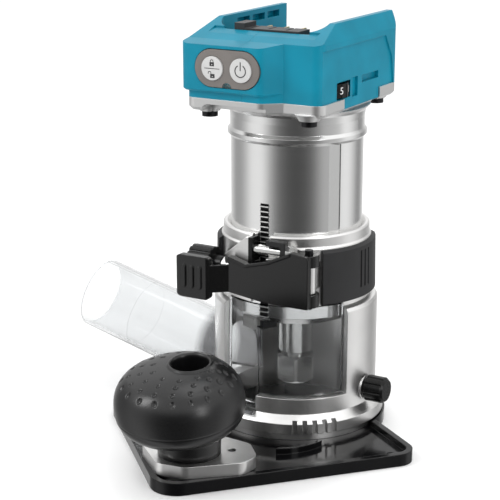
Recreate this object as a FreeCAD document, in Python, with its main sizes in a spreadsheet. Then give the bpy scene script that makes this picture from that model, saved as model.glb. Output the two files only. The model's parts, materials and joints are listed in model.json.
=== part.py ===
import FreeCAD, Part
import math
import os
import re
import Sketcher

# Cordless trim router in a fixed base with a grip plate.
# Frame: millimetres, +Z up, origin on the spindle axis in the plane of the sole.
# +X is to the right of someone facing the switch panel, and the panel looks along -Y.
# Azimuths run from the front (-Y) towards the right (+X).

DRIVING = [
    # motor barrel, flange and housing
    ("barrel_od", 65.0), ("barrel_wall", 3.0), ("barrel_low", 58.5), ("barrel_chamfer", 3.5),
    ("barrel_floor", 11.5), ("bead_low", 147.0), ("bead_tall", 5.0), ("bead_proud", 1.6),
    ("neck_inset", 0.4), ("flange_low", 164.0), ("flange_thick", 6.0), ("flange_flare", 5.0),
    ("flare_tall", 7.0), ("boss_tall", 1.6), ("boss_rim", 2.0), ("flange_bevel", 1.6),
    ("arch_left", -21.0), ("arch_right", 9.0), ("arch_tall", 3.4), ("arch_deep", 9.0),
    ("guide_groove_wide", 6.5), ("guide_groove_deep", 0.6), ("guide_groove_az", 62.0),
    ("housing_side_reach", 2.5), ("housing_back_reach", 7.5), ("housing_face_reach", 10.5),
    ("panel_reach", 19.5), ("step_near", 8.5), ("step_far", 15.5), ("front_lip", 2.4),
    ("side_lip", 1.6), ("band_tall", 3.6), ("sunk_deep", 0.8), ("sunk_edge", 5.0),
    ("housing_tall", 35.0), ("shell_wall", 4.0), ("seam_x", -2.5), ("ridge_tall", 27.0),
    ("ridge_inset", 4.0), ("brow_tall", 25.5), ("rim_tall", 30.5), ("rail_wide", 7.0),
    ("bay_front_wall", 11.0), ("bay_tall", 20.0), ("bay_floor_thick", 2.5), ("rail_slot_tall", 3.2),
    ("rail_slot_deep", 3.4), ("rail_slot_first", 22.0), ("rail_slot_pitch", 15.0),
    ("rail_slot_long", 12.0), ("brow_rise", 1.5), ("rail_run", 10.0), ("housing_corner", 5.0),
    ("tongue_half", 19.0), ("tongue_tall", 5.0), ("tongue_thick", 3.0), ("post_side", 8.5),
    ("post_front_reach", 6.0), ("post_back_reach", 0.5), ("screw_shank", 4.0), ("screw_head", 7.6),
    ("screw_head_tall", 2.6), ("screw_reach", 10.0), ("play", 0.3), ("terminal_half", 17.0),
    ("terminal_deep", 11.0), ("terminal_tall", 11.4), ("terminal_ear", 2.2),
    # switch panel
    ("panel_x", -9.0), ("panel_z", 185.0), ("panel_wide", 34.0), ("panel_tall", 17.4),
    ("panel_thick", 3.0), ("panel_proud", 0.4), ("button_dia", 11.2), ("button_pitch", 15.1),
    ("button_proud", 1.0), ("button_travel", 0.6), ("lamp_dia", 3.6), ("panel_lamp_dia", 4.8),
    # speed dial
    ("dial_dia", 20.0), ("dial_thick", 6.4), ("dial_inset", 9.4), ("dial_y", -19.0),
    ("dial_z", 174.2), ("dial_bore", 4.0), ("side_slot_y", 0.6), ("side_slot_long", 18.0),
    # motor inside
    ("stator_gap", 0.25), ("stator_low", 86.0), ("stator_tall", 46.0), ("stator_bore", 31.0),
    ("rotor_dia", 29.6), ("rotor_shaft", 10.0), ("low_bearing_od", 28.0),
    ("low_bearing_bore", 12.0), ("low_bearing_wide", 8.0), ("low_bearing_z", 62.0),
    ("top_bearing_od", 22.0), ("top_bearing_bore", 8.0), ("top_bearing_wide", 7.0),
    ("top_bearing_z", 149.0), ("fit_gap", 0.02), ("fan_dia", 50.0), ("fan_low", 74.0),
    ("fan_tall", 8.0), ("spindle_dia", 17.0), ("spindle_low", 30.0), ("spindle_bore", 10.0),
    ("collet_bore", 6.35), ("nut_across", 20.0), ("nut_low", 20.0), ("nut_tall", 14.0),
    # base casting
    ("collar_top", 104.0), ("collar_wall", 4.75), ("collar_low", 70.0), ("bore_gap", 0.05),
    ("lip_tall", 6.0), ("lip_step", 0.9), ("mouth_chamfer", 1.8), ("leg_reach", 8.5),
    ("chamber_gap", 3.0), ("foot_reach", 12.5), ("foot_top", 13.0), ("window_left", -31.0),
    ("window_right", 66.0), ("sill_tall", 9.5), ("port_left", -122.0), ("port_right", -58.0),
    ("port_top", 62.0), ("split_wide", 9.4), ("notch_wide", 2.4),
    # sole plate
    ("sole_thick", 6.0), ("sole_wall", 3.0), ("sole_reach", 13.5), ("sole_right_x", 82.0),
    ("sole_right_y", -26.5), ("sole_left_x", -85.0), ("sole_left_y", -44.0), ("sole_tip_x", -5.5),
    ("sole_tip_y", -122.0), ("sole_root_inset", 4.0), ("sole_root_y", 2.5), ("sole_corner", 9.0),
    ("sole_tip_round", 13.0), ("bit_hole", 32.0), ("rib_x", 5.5), ("rib_y", -31.5),
    ("rib_reach", 30.0), ("rib_wide", 1.8),
    # grip bracket and ball grip
    ("bracket_top", 12.0), ("bracket_round", 7.0), ("grip_x", -6.5), ("grip_y", -92.0),
    ("neck_dia", 29.5), ("ball_dia", 60.5), ("ball_over", 19.5), ("ball_under", 16.0),
    ("ball_x", -7.6), ("ball_y", -98.0), ("ball_z", 38.0), ("ball_fullness", 2.5),
    ("ball_tilt", 7.0), ("grip_hole", 20.0), ("grip_bolt", 8.0),
    # clamp, lever and depth adjuster
    ("rack_wide", 4.5), ("rack_pitch", 2.5), ("rack_teeth", 23), ("rack_below", 10),
    ("rack_back", 1.6), ("tooth_tall", 1.2), ("rack_proud", 0.1), ("pinion_z", 86.0),
    ("pinion_teeth", 8), ("pinion_shaft_dia", 4.0), ("depth_knob_dia", 16.6),
    ("depth_knob_long", 12.0), ("depth_knob_reach", 5.5), ("lever_pin_x", 26.5),
    ("lever_pin_reach", 4.5), ("lever_pin_dia", 4.0), ("lever_reach", 11.5), ("lever_thick", 3.4),
    ("tab_step", 7.0), ("lobe_dia", 10.0), ("lever_low", 73.0), ("lever_high", 99.5),
    ("lever_neck", -13.5), ("lever_tab", -20.5), ("lever_tip", -39.5), ("tab_round", 3.6),
    ("lip_wide", 1.6), ("lip_proud", 0.7), ("ridge_first", 5.0), ("ridge_pitch", 4.4),
    ("ridge_wide", 2.4), ("ridge_proud", 0.7), ("ridge_low", 78.0), ("ridge_high", 87.0),
    ("lug_low", 79.5), ("lug_top", 92.5), ("ear_reach", 7.1), ("ear_left", 18.0),
    ("ear_right", 15.4), ("ear_slope", 11.0), ("lug_wall", 1.3), ("bridge_thick", 2.8),
    ("lever_gap", 0.4), ("tie_z", 97.0), ("tie_reach", 4.4), ("tie_dia", 5.0), ("tie_left", -10.0),
    ("tie_nut_thick", 3.2), ("tie_nut_wall", 0.9),
    # grip pads
    ("pad_thick", 2.6), ("pad_low", 69.8), ("pad_top", 97.5), ("pad_az_near", 47.0),
    ("pad_az_far", 125.0),
    # clear parts
    ("clear_wall", 1.8), ("tube_od", 38.0), ("tube_wall", 2.0), ("tube_rise", 14.0),
    ("tube_root_z", 25.5), ("tube_root_x", -36.0), ("tube_mouth_x", -120.0),
    ("tube_root_run", 20.0), ("hose_seat_long", 30.0), ("hose_seat_step", 0.4),
    # guide screw
    ("guide_z", 23.0), ("guide_y", -2.0), ("guide_head", 13.0), ("guide_head_long", 10.0),
    ("guide_shank", 6.0), ("guide_inset", 4.0),
]

# Sizes that follow from the driving ones: the housing and the base are made around the barrel.
DERIVED = {
    "housing_half": "(barrel_od / 2 + housing_side_reach)",
    "housing_back": "(barrel_od / 2 + housing_back_reach)",
    "housing_face": "(barrel_od / 2 + housing_face_reach)",
    "panel_face": "(barrel_od / 2 + panel_reach)",
    "bay_half": "(barrel_od / 2 + housing_side_reach - rail_wide)",
    "bay_front": "(barrel_od / 2 + housing_face_reach - bay_front_wall)",
    "post_x": "(barrel_od / 2 + housing_side_reach - post_side)",
    "post_front": "(barrel_od / 2 + post_front_reach)",
    "post_back": "(barrel_od / 2 + post_back_reach)",
    "dial_x": "(barrel_od / 2 + housing_side_reach - dial_inset)",
    "collar_od": "(barrel_od + 2 * collar_wall)",
    "leg_od": "(barrel_od + 2 * leg_reach)",
    "chamber_od": "(barrel_od + 2 * chamber_gap)",
    "foot_od": "(barrel_od + 2 * foot_reach)",
    "sole_radius": "(barrel_od / 2 + sole_reach)",
    "sole_root_x": "(barrel_od / 2 + sole_reach - sole_root_inset)",
    "rack_line": "(barrel_od / 2 + rack_proud)",
    "lever_pin_y": "(-barrel_od / 2 - lever_pin_reach)",
    "lever_face": "(barrel_od / 2 + lever_reach)",
    "tab_face": "(barrel_od / 2 + lever_reach + tab_step)",
    "ear_face": "(barrel_od / 2 + ear_reach)",
    "tie_y": "(-barrel_od / 2 - tie_reach)",
    "guide_face": "(barrel_od / 2 + leg_reach - guide_inset)",
    "depth_knob_x": "(-barrel_od / 2 - depth_knob_reach)",
}

document = FreeCAD.newDocument("TrimRouter")
sheet = document.addObject("Spreadsheet::Sheet", "Dims")
for row_number, (alias, number) in enumerate(DRIVING, start=1):
    sheet.set(f"A{row_number}", alias)
    sheet.set(f"B{row_number}", str(number))
    sheet.setAlias(f"B{row_number}", alias)
document.recompute()

ALIAS_WORD = re.compile(r"\b(" + "|".join(alias for alias, number in DRIVING) + r")\b")
DERIVED_WORD = re.compile(r"\b(" + "|".join(DERIVED) + r")\b")
UPRIGHT = FreeCAD.Vector(0, 0, 1)
TURNS = {
    "z": FreeCAD.Rotation(),
    "x": FreeCAD.Rotation(FreeCAD.Vector(0, 1, 0), 90),
    "y": FreeCAD.Rotation(FreeCAD.Vector(1, 0, 0), -90),
}
sub_parts = []


def rule(text):
    """Open up the derived sizes, then turn plain sheet words into references to the sheet."""
    opened = DERIVED_WORD.sub(lambda word: DERIVED[word.group()], str(text))
    return ALIAS_WORD.sub(r"Dims.\1", opened)


def bind(thing, **rules):
    for name, text in rules.items():
        thing.setExpression(name, rule(text))


def place(thing, at=(0, 0, 0), turn=None):
    if turn is not None:
        thing.Placement = FreeCAD.Placement(FreeCAD.Vector(), turn)
    for axis, text in zip("xyz", at):
        thing.setExpression(f"Placement.Base.{axis}", rule(text))
    return thing


def spin(thing, degrees):
    """Turn a placed thing about the vertical by a rule in degrees."""
    thing.Placement = FreeCAD.Placement(FreeCAD.Vector(), FreeCAD.Rotation(UPRIGHT, 1))
    thing.setExpression("Placement.Rotation.Angle", rule(degrees))
    return thing


def rod(name, dia, length, at=(0, 0, 0), way="z"):
    thing = document.addObject("Part::Cylinder", name)
    bind(thing, Radius=f"({dia}) / 2", Height=length)
    return place(thing, at, TURNS[way])


def cone(name, low_dia, top_dia, length, at=(0, 0, 0), way="z"):
    thing = document.addObject("Part::Cone", name)
    bind(thing, Radius1=f"({low_dia}) / 2", Radius2=f"({top_dia}) / 2", Height=length)
    return place(thing, at, TURNS[way])


def block(name, low, high):
    """A box from its low corner to its high corner."""
    thing = document.addObject("Part::Box", name)
    spans = [f"({b}) - ({a})" for a, b in zip(low, high)]
    bind(thing, Length=spans[0], Width=spans[1], Height=spans[2])
    return place(thing, low)


def wedge(name, dia, low, high, near, far):
    """A sector of a disc between two azimuths."""
    thing = document.addObject("Part::Cylinder", name)
    bind(thing, Radius=f"({dia}) / 2", Height=f"({high}) - ({low})", Angle=f"({far}) - ({near})")
    spin(thing, f"({near}) - 90")
    thing.setExpression("Placement.Base.z", rule(low))
    return thing


def carry_round(thing, low, degrees):
    """Carry a block whose low corner is given round the vertical axis."""
    spin(thing, degrees)
    angle = f"(({degrees}) * 1 deg)"
    place(thing, (f"({low[0]}) * cos{angle} - ({low[1]}) * sin{angle}",
                  f"({low[0]}) * sin{angle} + ({low[1]}) * cos{angle}", low[2]))
    return thing


def fuse(name, *pieces):
    thing = document.addObject("Part::MultiFuse", name)
    thing.Shapes = list(pieces)
    return thing


def cut(name, base, *tools):
    thing = document.addObject("Part::Cut", name)
    thing.Base = base
    thing.Tool = tools[0] if len(tools) == 1 else fuse(name + "_tools", *tools)
    return thing


def common(name, *pieces):
    thing = document.addObject("Part::MultiCommon", name)
    thing.Shapes = list(pieces)
    return thing


def outline(body, role, points):
    """A closed sketch whose corners are tied to the sheet."""
    sketch = body.newObject("Sketcher::SketchObject", body.Name + "_outline")
    plane = [item for item in body.Origin.OriginFeatures if item.Role == role][0]
    sketch.AttachmentSupport = [(plane, "")]
    sketch.MapMode = "FlatFace"
    count = len(points)
    ring = [FreeCAD.Rotation(UPRIGHT, 360.0 * k / count).multVec(FreeCAD.Vector(50, 1, 0))
            for k in range(count)]
    for k in range(count):
        sketch.addGeometry(Part.LineSegment(ring[k], ring[(k + 1) % count]))
    for k in range(count):
        sketch.addConstraint(Sketcher.Constraint("Coincident", k, 2, (k + 1) % count, 1))
    for k, corner in enumerate(points):
        for kind, text, start in zip(("DistanceX", "DistanceY"), corner, ring[k]):
            index = sketch.addConstraint(Sketcher.Constraint(kind, -1, 1, k, 1, start))
            sketch.setExpression(f"Constraints[{index}]", rule(text))
    return sketch


def turned(name, points, sweep=None, start=None):
    """A profile of (radius, height) corners turned about the vertical."""
    body = document.addObject("PartDesign::Body", name)
    sketch = outline(body, "XZ_Plane", points)
    turning = body.newObject("PartDesign::Revolution", name + "_turning")
    turning.Profile = sketch
    turning.ReferenceAxis = (sketch, ["V_Axis"])
    if sweep is not None:
        bind(turning, Angle=sweep)
        spin(body, start)
    return body


def prism(name, points, low, high, role="XY_Plane", rounds=(), bevel=None):
    """A straight-sided plate; rounds lists (radius rule, corner numbers), bevel trims its low rim."""
    body = document.addObject("PartDesign::Body", name)
    sketch = outline(body, role, points)
    pad = body.newObject("PartDesign::Pad", name + "_pad")
    pad.Profile = sketch
    bind(pad, Length=f"({high}) - ({low})")
    lift = {"XY_Plane": "z", "XZ_Plane": "y", "YZ_Plane": "x"}[role]
    pad.Reversed = role == "XZ_Plane"
    body.setExpression(f"Placement.Base.{lift}", rule(low))
    for number, (radius, corners) in enumerate(rounds):
        document.recompute()
        spots = [sketch.getPoint(k, 1) for k in corners]
        chosen = []
        for index, edge in enumerate(body.Tip.Shape.Edges, start=1):
            ends = [vertex.Point for vertex in edge.Vertexes]
            if len(ends) != 2:
                continue
            flat = [{"XY_Plane": (p.x, p.y), "XZ_Plane": (p.x, p.z), "YZ_Plane": (p.y, p.z)}[role]
                    for p in ends]
            same = abs(flat[0][0] - flat[1][0]) + abs(flat[0][1] - flat[1][1]) < 1e-4
            if same and any(abs(flat[0][0] - s.x) + abs(flat[0][1] - s.y) < 1e-3 for s in spots):
                chosen.append(f"Edge{index}")
        add_dressup(body, "PartDesign::Fillet", f"{name}_round{number}", chosen, Radius=radius)
    if bevel is not None:
        document.recompute()
        faces = body.Tip.Shape.Faces
        lowest = min(range(len(faces)), key=lambda k: faces[k].CenterOfMass.z)
        add_dressup(body, "PartDesign::Chamfer", name + "_bevel", [f"Face{lowest + 1}"], Size=bevel)
    return body


def add_dressup(body, kind, name, chosen, **sizes):
    """Add a fillet or chamfer on named edges or faces of what the body holds so far."""
    before = body.Tip
    dressing = body.newObject(kind, name)
    dressing.Base = (before, chosen)
    bind(dressing, **sizes)


def keep(thing, label):
    thing.Label = label
    sub_parts.append(thing)
    return thing


HOUSING_LOW = "(flange_low + flange_thick)"
HOUSING_TOP = "(flange_low + flange_thick + housing_tall)"
HOUSING_OUTLINE = [
    ("-housing_half", "housing_back"), ("-housing_half", "-panel_face"),
    ("step_near", "-panel_face"), ("step_far", "-housing_face"),
    ("housing_half", "-housing_face"), ("housing_half", "housing_back"),
]
FLANGE_OUTLINE = [
    ("-housing_half + side_lip", "housing_back"),
    ("-housing_half + side_lip", "-panel_face + front_lip"),
    ("step_near - side_lip", "-panel_face + front_lip"), ("step_far", "-housing_face"),
    ("housing_half", "-housing_face"), ("housing_half", "housing_back"),
]
HOUSING_ROUNDS = [("housing_corner", (0, 1, 2, 4, 5))]
BUTTON_X = ("panel_x - button_pitch / 2", "panel_x + button_pitch / 2")
POSTS = [("-post_x", "-post_front"), ("post_x", "-post_front"),
         ("-post_x", "post_back"), ("post_x", "post_back")]
BALL_STEPS = 20
LAMP_AZIMUTHS = (45, -70)
LAMP_REACH = "barrel_od / 2 - barrel_chamfer - 5"
BLADE_X = (-9.2, 0.0, 9.2)
LOCK_TURN = "-90 - 26"
LUG_DIA = "(lever_pin_dia + 2 * lug_wall)"
SOLE_SCREW_REACH = "foot_od / 2 - 6.4"
SOLE_SCREW_AZIMUTHS = (-20, 66, 150, 215)
PITCH_RADIUS = "(pinion_teeth * rack_pitch / (2 * pi))"
PINION_Y = f"(-rack_line - {PITCH_RADIUS})"
BRACKET_SCREWS = (("grip_x + 16.5", "grip_y + 11"), ("grip_x - 16.5", "grip_y + 9"))


def spot_at(reach, azimuth):
    """A point at a reach from the axis, at an azimuth from the front towards the right."""
    angle = f"(({azimuth}) * 1 deg)"
    return (f"({reach}) * sin{angle}", f"-({reach}) * cos{angle}")


def make_motor_barrel():
    inner = "(barrel_od / 2 - barrel_wall)"
    seat = "(low_bearing_od / 2 + fit_gap)"
    throat = "(low_bearing_od / 2 - 2)"
    profile = [
        (throat, "barrel_low"),
        ("barrel_od / 2 - barrel_chamfer", "barrel_low"),
        ("barrel_od / 2", "barrel_low + barrel_chamfer"),
        ("barrel_od / 2", "bead_low"),
        ("barrel_od / 2 + bead_proud", "bead_low + bead_proud"),
        ("barrel_od / 2 + bead_proud", "bead_low + bead_tall - bead_proud"),
        ("barrel_od / 2 + neck_inset", "bead_low + bead_tall"),
        ("barrel_od / 2 + neck_inset", "flange_low - flare_tall"),
        ("barrel_od / 2 + flange_flare * 0.2", "flange_low - flare_tall * 0.5"),
        ("barrel_od / 2 + flange_flare * 0.5", "flange_low - flare_tall * 0.2"),
        ("barrel_od / 2 + flange_flare", "flange_low"),
        ("barrel_od / 2 + flange_flare", HOUSING_LOW),
        (inner, HOUSING_LOW), (inner, "barrel_low + barrel_floor"),
        (seat, "barrel_low + barrel_floor"), (seat, "low_bearing_z"), (throat, "low_bearing_z"),
    ]
    tube = turned("barrel_tube", profile)
    plate = prism("flange_plate", FLANGE_OUTLINE, "flange_low", HOUSING_LOW,
                  rounds=HOUSING_ROUNDS, bevel="flange_bevel")
    bosses = [cone(f"flange_boss{k}", "screw_head + boss_rim", "screw_head + 3 * boss_rim",
                   "boss_tall + flange_bevel", (x, y, "flange_low - boss_tall"))
              for k, (x, y) in enumerate(POSTS)]
    arch = [
        block("flange_arch_room", ("arch_left", "-panel_face", "flange_low - 1"),
              ("arch_right", "-panel_face + front_lip + arch_deep", "flange_low + arch_tall")),
        rod("flange_arch_end", "2 * arch_tall", "front_lip + arch_deep",
            ("arch_left", "-panel_face", "flange_low"), "y"),
    ]
    keeper = rod("arch_keeper", "barrel_od + 2 * flange_flare", "flange_thick + 4",
                 (0, 0, "flange_low - 2"))
    solid = fuse("barrel_solid", tube, plate, *bosses)
    tools = [cut("flange_arch", fuse("flange_arch_solid", *arch), keeper)]
    tools.append(rod("flange_bore", f"2 * {inner}", "flange_thick + 2", (0, 0, "flange_low - 1")))
    tools += [rod(f"flange_hole{k}", "screw_shank + 2 * play", "flange_thick + boss_tall + 2",
                  (x, y, "flange_low - boss_tall - 1")) for k, (x, y) in enumerate(POSTS)]
    tools.append(block("rack_groove", ("-rack_wide / 2", "-barrel_od / 2 - 1", "barrel_low - 1"),
                       ("rack_wide / 2", "-rack_line + tooth_tall / 2 + rack_back",
                        "pinion_z + (rack_teeth - rack_below) * rack_pitch")))
    groove_corner = ("barrel_od / 2 - guide_groove_deep", "-guide_groove_wide / 2",
                     "barrel_low - 1")
    groove = block("guide_groove", groove_corner,
                   ("barrel_od", "guide_groove_wide / 2", "bead_low"))
    tools.append(carry_round(groove, groove_corner, "guide_groove_az - 90"))
    tools.append(block("tongue_notch", ("housing_half - sunk_deep - tongue_thick - play",
                                        "-tongue_half - play", "flange_low - 1"),
                       ("barrel_od / 2 + flange_flare + 3", "tongue_half + play",
                        f"{HOUSING_LOW} + 1")))
    lamp_at = [spot_at(LAMP_REACH, azimuth) for azimuth in LAMP_AZIMUTHS]
    tools += [rod(f"lamp_seat{k}", "lamp_dia + 1.4", 3, (x, y, "barrel_low - 1"))
              for k, (x, y) in enumerate(lamp_at)]
    keep(cut("barrel_cut", solid, *tools), "motor_barrel")


def make_motor_rack():
    """A toothed strip let into the front of the barrel."""
    low = "(pinion_z - rack_below * rack_pitch)"
    root = "(rack_line - tooth_tall / 2)"
    strip = block("rack_strip", ("-rack_wide / 2 + 0.02", f"-{root}", low),
                  ("rack_wide / 2 - 0.02", f"-{root} + 1.55", f"{low} + rack_teeth * rack_pitch"))
    profile = [
        ("0", "-0.30 * rack_pitch"), ("0", "0.30 * rack_pitch"),
        ("-tooth_tall", "0.13 * rack_pitch"), ("-tooth_tall", "-0.13 * rack_pitch"),
    ]
    tooth = prism("rack_tooth", profile, "-rack_wide / 2 + 0.02", "rack_wide / 2 - 0.02",
                  "YZ_Plane")
    tooth.setExpression("Placement.Base.y", rule(f"-{root} + 0.01"))
    tooth.setExpression("Placement.Base.z", rule(f"{low} + rack_pitch / 2"))
    row = document.addObject("Part::Feature", "rack_row")
    document.recompute()
    pitch = float(sheet.get("rack_pitch"))
    row.Shape = Part.Compound([tooth.Shape.translated(FreeCAD.Vector(0, 0, k * pitch))
                               for k in range(int(sheet.get("rack_teeth")))])
    keep(fuse("rack_whole", strip, row), "motor_rack")


def make_housing():
    """Two plastic half shells that meet on a seam left of the middle."""
    block_low = f"{HOUSING_LOW} + band_tall"
    bay_floor = f"{HOUSING_LOW} + bay_tall"
    upper = prism("housing_block", HOUSING_OUTLINE, block_low, HOUSING_TOP, rounds=HOUSING_ROUNDS,
                  bevel="front_lip / 3")
    band = prism("housing_band", FLANGE_OUTLINE, HOUSING_LOW, f"{block_low} + 1",
                 rounds=HOUSING_ROUNDS)
    across = prism("housing_across", [
        ("-housing_half", HOUSING_LOW), ("housing_half", HOUSING_LOW),
        ("housing_half", f"{HOUSING_LOW} + ridge_tall"),
        ("housing_half - ridge_inset", HOUSING_TOP),
        ("-housing_half + ridge_inset", HOUSING_TOP),
        ("-housing_half", f"{HOUSING_LOW} + ridge_tall")],
        "-panel_face - 1", "housing_back + 1", "XZ_Plane")
    brow = f"{HOUSING_LOW} + brow_tall"
    rim = f"{HOUSING_LOW} + rim_tall"
    along = prism("housing_along", [
        ("-panel_face", HOUSING_LOW), ("-panel_face", brow),
        ("-housing_face", f"{brow} + brow_rise"), ("-bay_front + rail_run", HOUSING_TOP),
        ("housing_back", HOUSING_TOP), ("housing_back", HOUSING_LOW)],
        "-housing_half - 1", "housing_half + 1", "YZ_Plane")
    solid = common("housing_solid", fuse("housing_mass", upper, band), across, along)
    tongue = block("side_tongue", ("housing_half - sunk_deep - tongue_thick", "-tongue_half",
                                   f"{HOUSING_LOW} - tongue_tall"),
                   ("housing_half - sunk_deep", "tongue_half", f"{HOUSING_LOW} + 1"))
    dip = prism("front_dip", [
        ("-panel_face - 1", brow), ("-panel_face", brow), ("-bay_front", rim),
        ("-bay_front + 1", rim), ("-bay_front + 1", f"{HOUSING_TOP} + 1"),
        ("-panel_face - 1", f"{HOUSING_TOP} + 1")],
        "-bay_half", "bay_half", "YZ_Plane")
    bay = prism("battery_bay", [
        ("-bay_half", "housing_back + 1"), ("-bay_half", "-bay_front"),
        ("bay_half", "-bay_front"), ("bay_half", "housing_back + 1")],
        bay_floor, f"{HOUSING_TOP} + 1", rounds=[("2 * housing_corner", (1, 2))])
    sunk_top = f"{HOUSING_LOW} + ridge_tall - sunk_edge / 2"
    sunk = prism("side_sunk", [
        ("-housing_face - 1", HOUSING_LOW), ("housing_back - sunk_edge", HOUSING_LOW),
        ("housing_back - 1.5 * sunk_edge", f"{HOUSING_LOW} + ridge_tall / 2"),
        ("housing_back - 3 * sunk_edge", sunk_top), ("-housing_face - 1", sunk_top)],
        "housing_half - sunk_deep", "housing_half + 1", "YZ_Plane")
    cavity = block("board_space", ("-housing_half + shell_wall", "-post_front + screw_head",
                                   f"{HOUSING_LOW} - 1"),
                   ("housing_half - shell_wall", "post_back - screw_head",
                    f"{bay_floor} - bay_floor_thick"))
    panel_space = block("panel_space", ("panel_x - panel_wide / 2 + 4", "-panel_face + 4.5",
                                        "panel_z - panel_tall / 2 + 3"),
                        ("panel_x + panel_wide / 2 - 4", "-post_front + screw_head + 1",
                         "panel_z + panel_tall / 2 - 5.5"))
    seat = stadium("panel_seat", "panel_wide + 2 * play", "panel_tall + 2 * play",
                   "panel_thick + play + 1", "-panel_face - 1")
    holes = [rod(f"post_hole{k}", "screw_shank", "screw_reach + 1",
                 (x, y, f"{HOUSING_LOW} - 1")) for k, (x, y) in enumerate(POSTS)]
    holes += [rod(f"stem_hole{k}", "button_dia / 3 + 2 * play", 7, (x, "-panel_face", "panel_z"),
                  "y") for k, x in enumerate(BUTTON_X)]
    slots = [rail_slot(side, k) for side in (-1, 1) for k in range(3)]
    dial_room = rod("dial_room", "dial_dia + 2", "dial_thick + 1.6",
                    ("dial_x", "dial_y", "dial_z - dial_thick / 2 - 0.8"))
    dial_rear = "dial_y + dial_dia / 2 - 1"
    finger = block("dial_finger", ("housing_half - sunk_deep - 1.4", dial_rear,
                                   "dial_z - dial_thick / 2 - 1.4"),
                   ("housing_half + 1", f"{dial_rear} + 6", "dial_z + dial_thick / 2 + 1.4"))
    side_slot = block("side_slot", ("housing_half - sunk_deep - 2", "side_slot_y",
                                    "dial_z + 0.8"),
                      ("housing_half + 1", "side_slot_y + side_slot_long", "dial_z + 4.2"))
    cut_solid = cut("housing_cut", fuse("housing_body", cut("housing_sunk", solid, sunk), tongue),
                    dip, bay, cavity, panel_space, seat, dial_room, finger, side_slot,
                    *holes, *slots)
    under = "flange_low - tongue_tall"
    left_side = block("left_side", ("-housing_half - 1", "-panel_face - 1", under),
                      ("seam_x", "housing_back + 1", f"{HOUSING_TOP} + 1"))
    right_side = block("right_side", ("seam_x", "-panel_face - 1", under),
                       ("housing_half + 1", "housing_back + 1", f"{HOUSING_TOP} + 1"))
    keep(common("left_half", cut_solid, left_side), "housing_left")
    keep(common("right_half", cut_solid, right_side), "housing_right")


def rail_slot(side, k):
    """One of the three slots in the inner face of a battery rail; side is -1 or 1."""
    wall = f"{side} * bay_half"
    reach = f"{side} * (bay_half + rail_slot_deep)"
    near, far = (wall, reach) if side > 0 else (reach, wall)
    start = f"-bay_front + rail_slot_first + {k} * rail_slot_pitch"
    return block(f"rail_slot{side}{k}", (near, start, f"{HOUSING_TOP} - 2.4 - rail_slot_tall"),
                 (far, f"{start} + rail_slot_long", f"{HOUSING_TOP} - 2.4"))


def stadium(name, wide, tall, thick, near):
    """A plate with round ends that faces the front, centred on the switch panel."""
    start = f"panel_x - ({wide}) / 2 + ({tall}) / 2"
    end = f"panel_x + ({wide}) / 2 - ({tall}) / 2"
    middle = block(name + "_middle", (start, near, f"panel_z - ({tall}) / 2"),
                   (end, f"({near}) + ({thick})", f"panel_z + ({tall}) / 2"))
    ends = [rod(f"{name}_end{k}", tall, thick, (x, near, "panel_z"), "y")
            for k, x in enumerate((start, end))]
    return fuse(name, middle, *ends)


def make_housing_screws():
    screws = []
    for k, (x, y) in enumerate(POSTS):
        head = rod(f"post_head{k}", "screw_head", "screw_head_tall",
                   (x, y, "flange_low - boss_tall - screw_head_tall"))
        socket = rod(f"post_socket{k}", "screw_head / 2", "screw_head_tall / 2 + 1",
                     (x, y, "flange_low - boss_tall - screw_head_tall - 1"))
        shank = rod(f"post_shank{k}", "screw_shank - 0.1",
                    "flange_thick + boss_tall + screw_reach - 0.5",
                    (x, y, "flange_low - boss_tall"))
        screws.append(fuse(f"post_screw{k}", cut(f"post_drive{k}", head, socket), shank))
    keep(fuse("post_screws", *screws), "housing_screws")


def make_switch_panel():
    front = "-panel_face - panel_proud"
    thick = "panel_thick + panel_proud"
    plate = stadium("panel_plate", "panel_wide", "panel_tall", thick, front)
    holes = [rod(f"button_hole{k}", "button_dia + play", "panel_thick + 2",
                 (x, "-panel_face - 1", "panel_z"), "y") for k, x in enumerate(BUTTON_X)]
    lamp_at = ("panel_x", "-panel_face - 1", "panel_z - panel_tall / 2")
    holes.append(rod("lamp_hole", "panel_lamp_dia + 2 * fit_gap", "panel_thick + 2", lamp_at, "y"))
    keep(cut("panel_cut", plate, *holes), "switch_panel")
    window = stadium("lamp_window", "panel_wide", "panel_tall", thick, front)
    lens = rod("lamp_lens", "panel_lamp_dia", "panel_thick + 1", lamp_at, "y")
    keep(common("panel_lamp_whole", window, lens), "panel_lamp")


def make_buttons():
    for x, label in zip(BUTTON_X, ("lock_button", "power_button")):
        cap = rod(label + "_cap", "button_dia", "panel_thick - 0.2",
                  (x, "-panel_face - button_proud", "panel_z"), "y")
        stem = rod(label + "_stem", "button_dia / 3", "panel_thick + 2",
                   (x, "-panel_face - button_proud + 1", "panel_z"), "y")
        keep(fuse(label + "_whole", cap, stem), label)
    boards = []
    back = "(-panel_face - button_proud + panel_thick + 3 + button_travel + 0.15)"
    boards.append(block("switch_board_plate", ("panel_x - panel_wide / 2 + 4.5", f"{back} + 1",
                                               "panel_z - panel_tall / 2 + 3.5"),
                        ("panel_x + panel_wide / 2 - 4.5", f"{back} + 2.4",
                         "panel_z + panel_tall / 2 - 7.5")))
    for k, x in enumerate(BUTTON_X):
        boards.append(block(f"key_switch{k}", (f"{x} - 2.5", back, "panel_z - 2.5"),
                            (f"{x} + 2.5", f"{back} + 1", "panel_z + 2")))
    keep(fuse("switch_board_whole", *boards), "switch_board")


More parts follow.
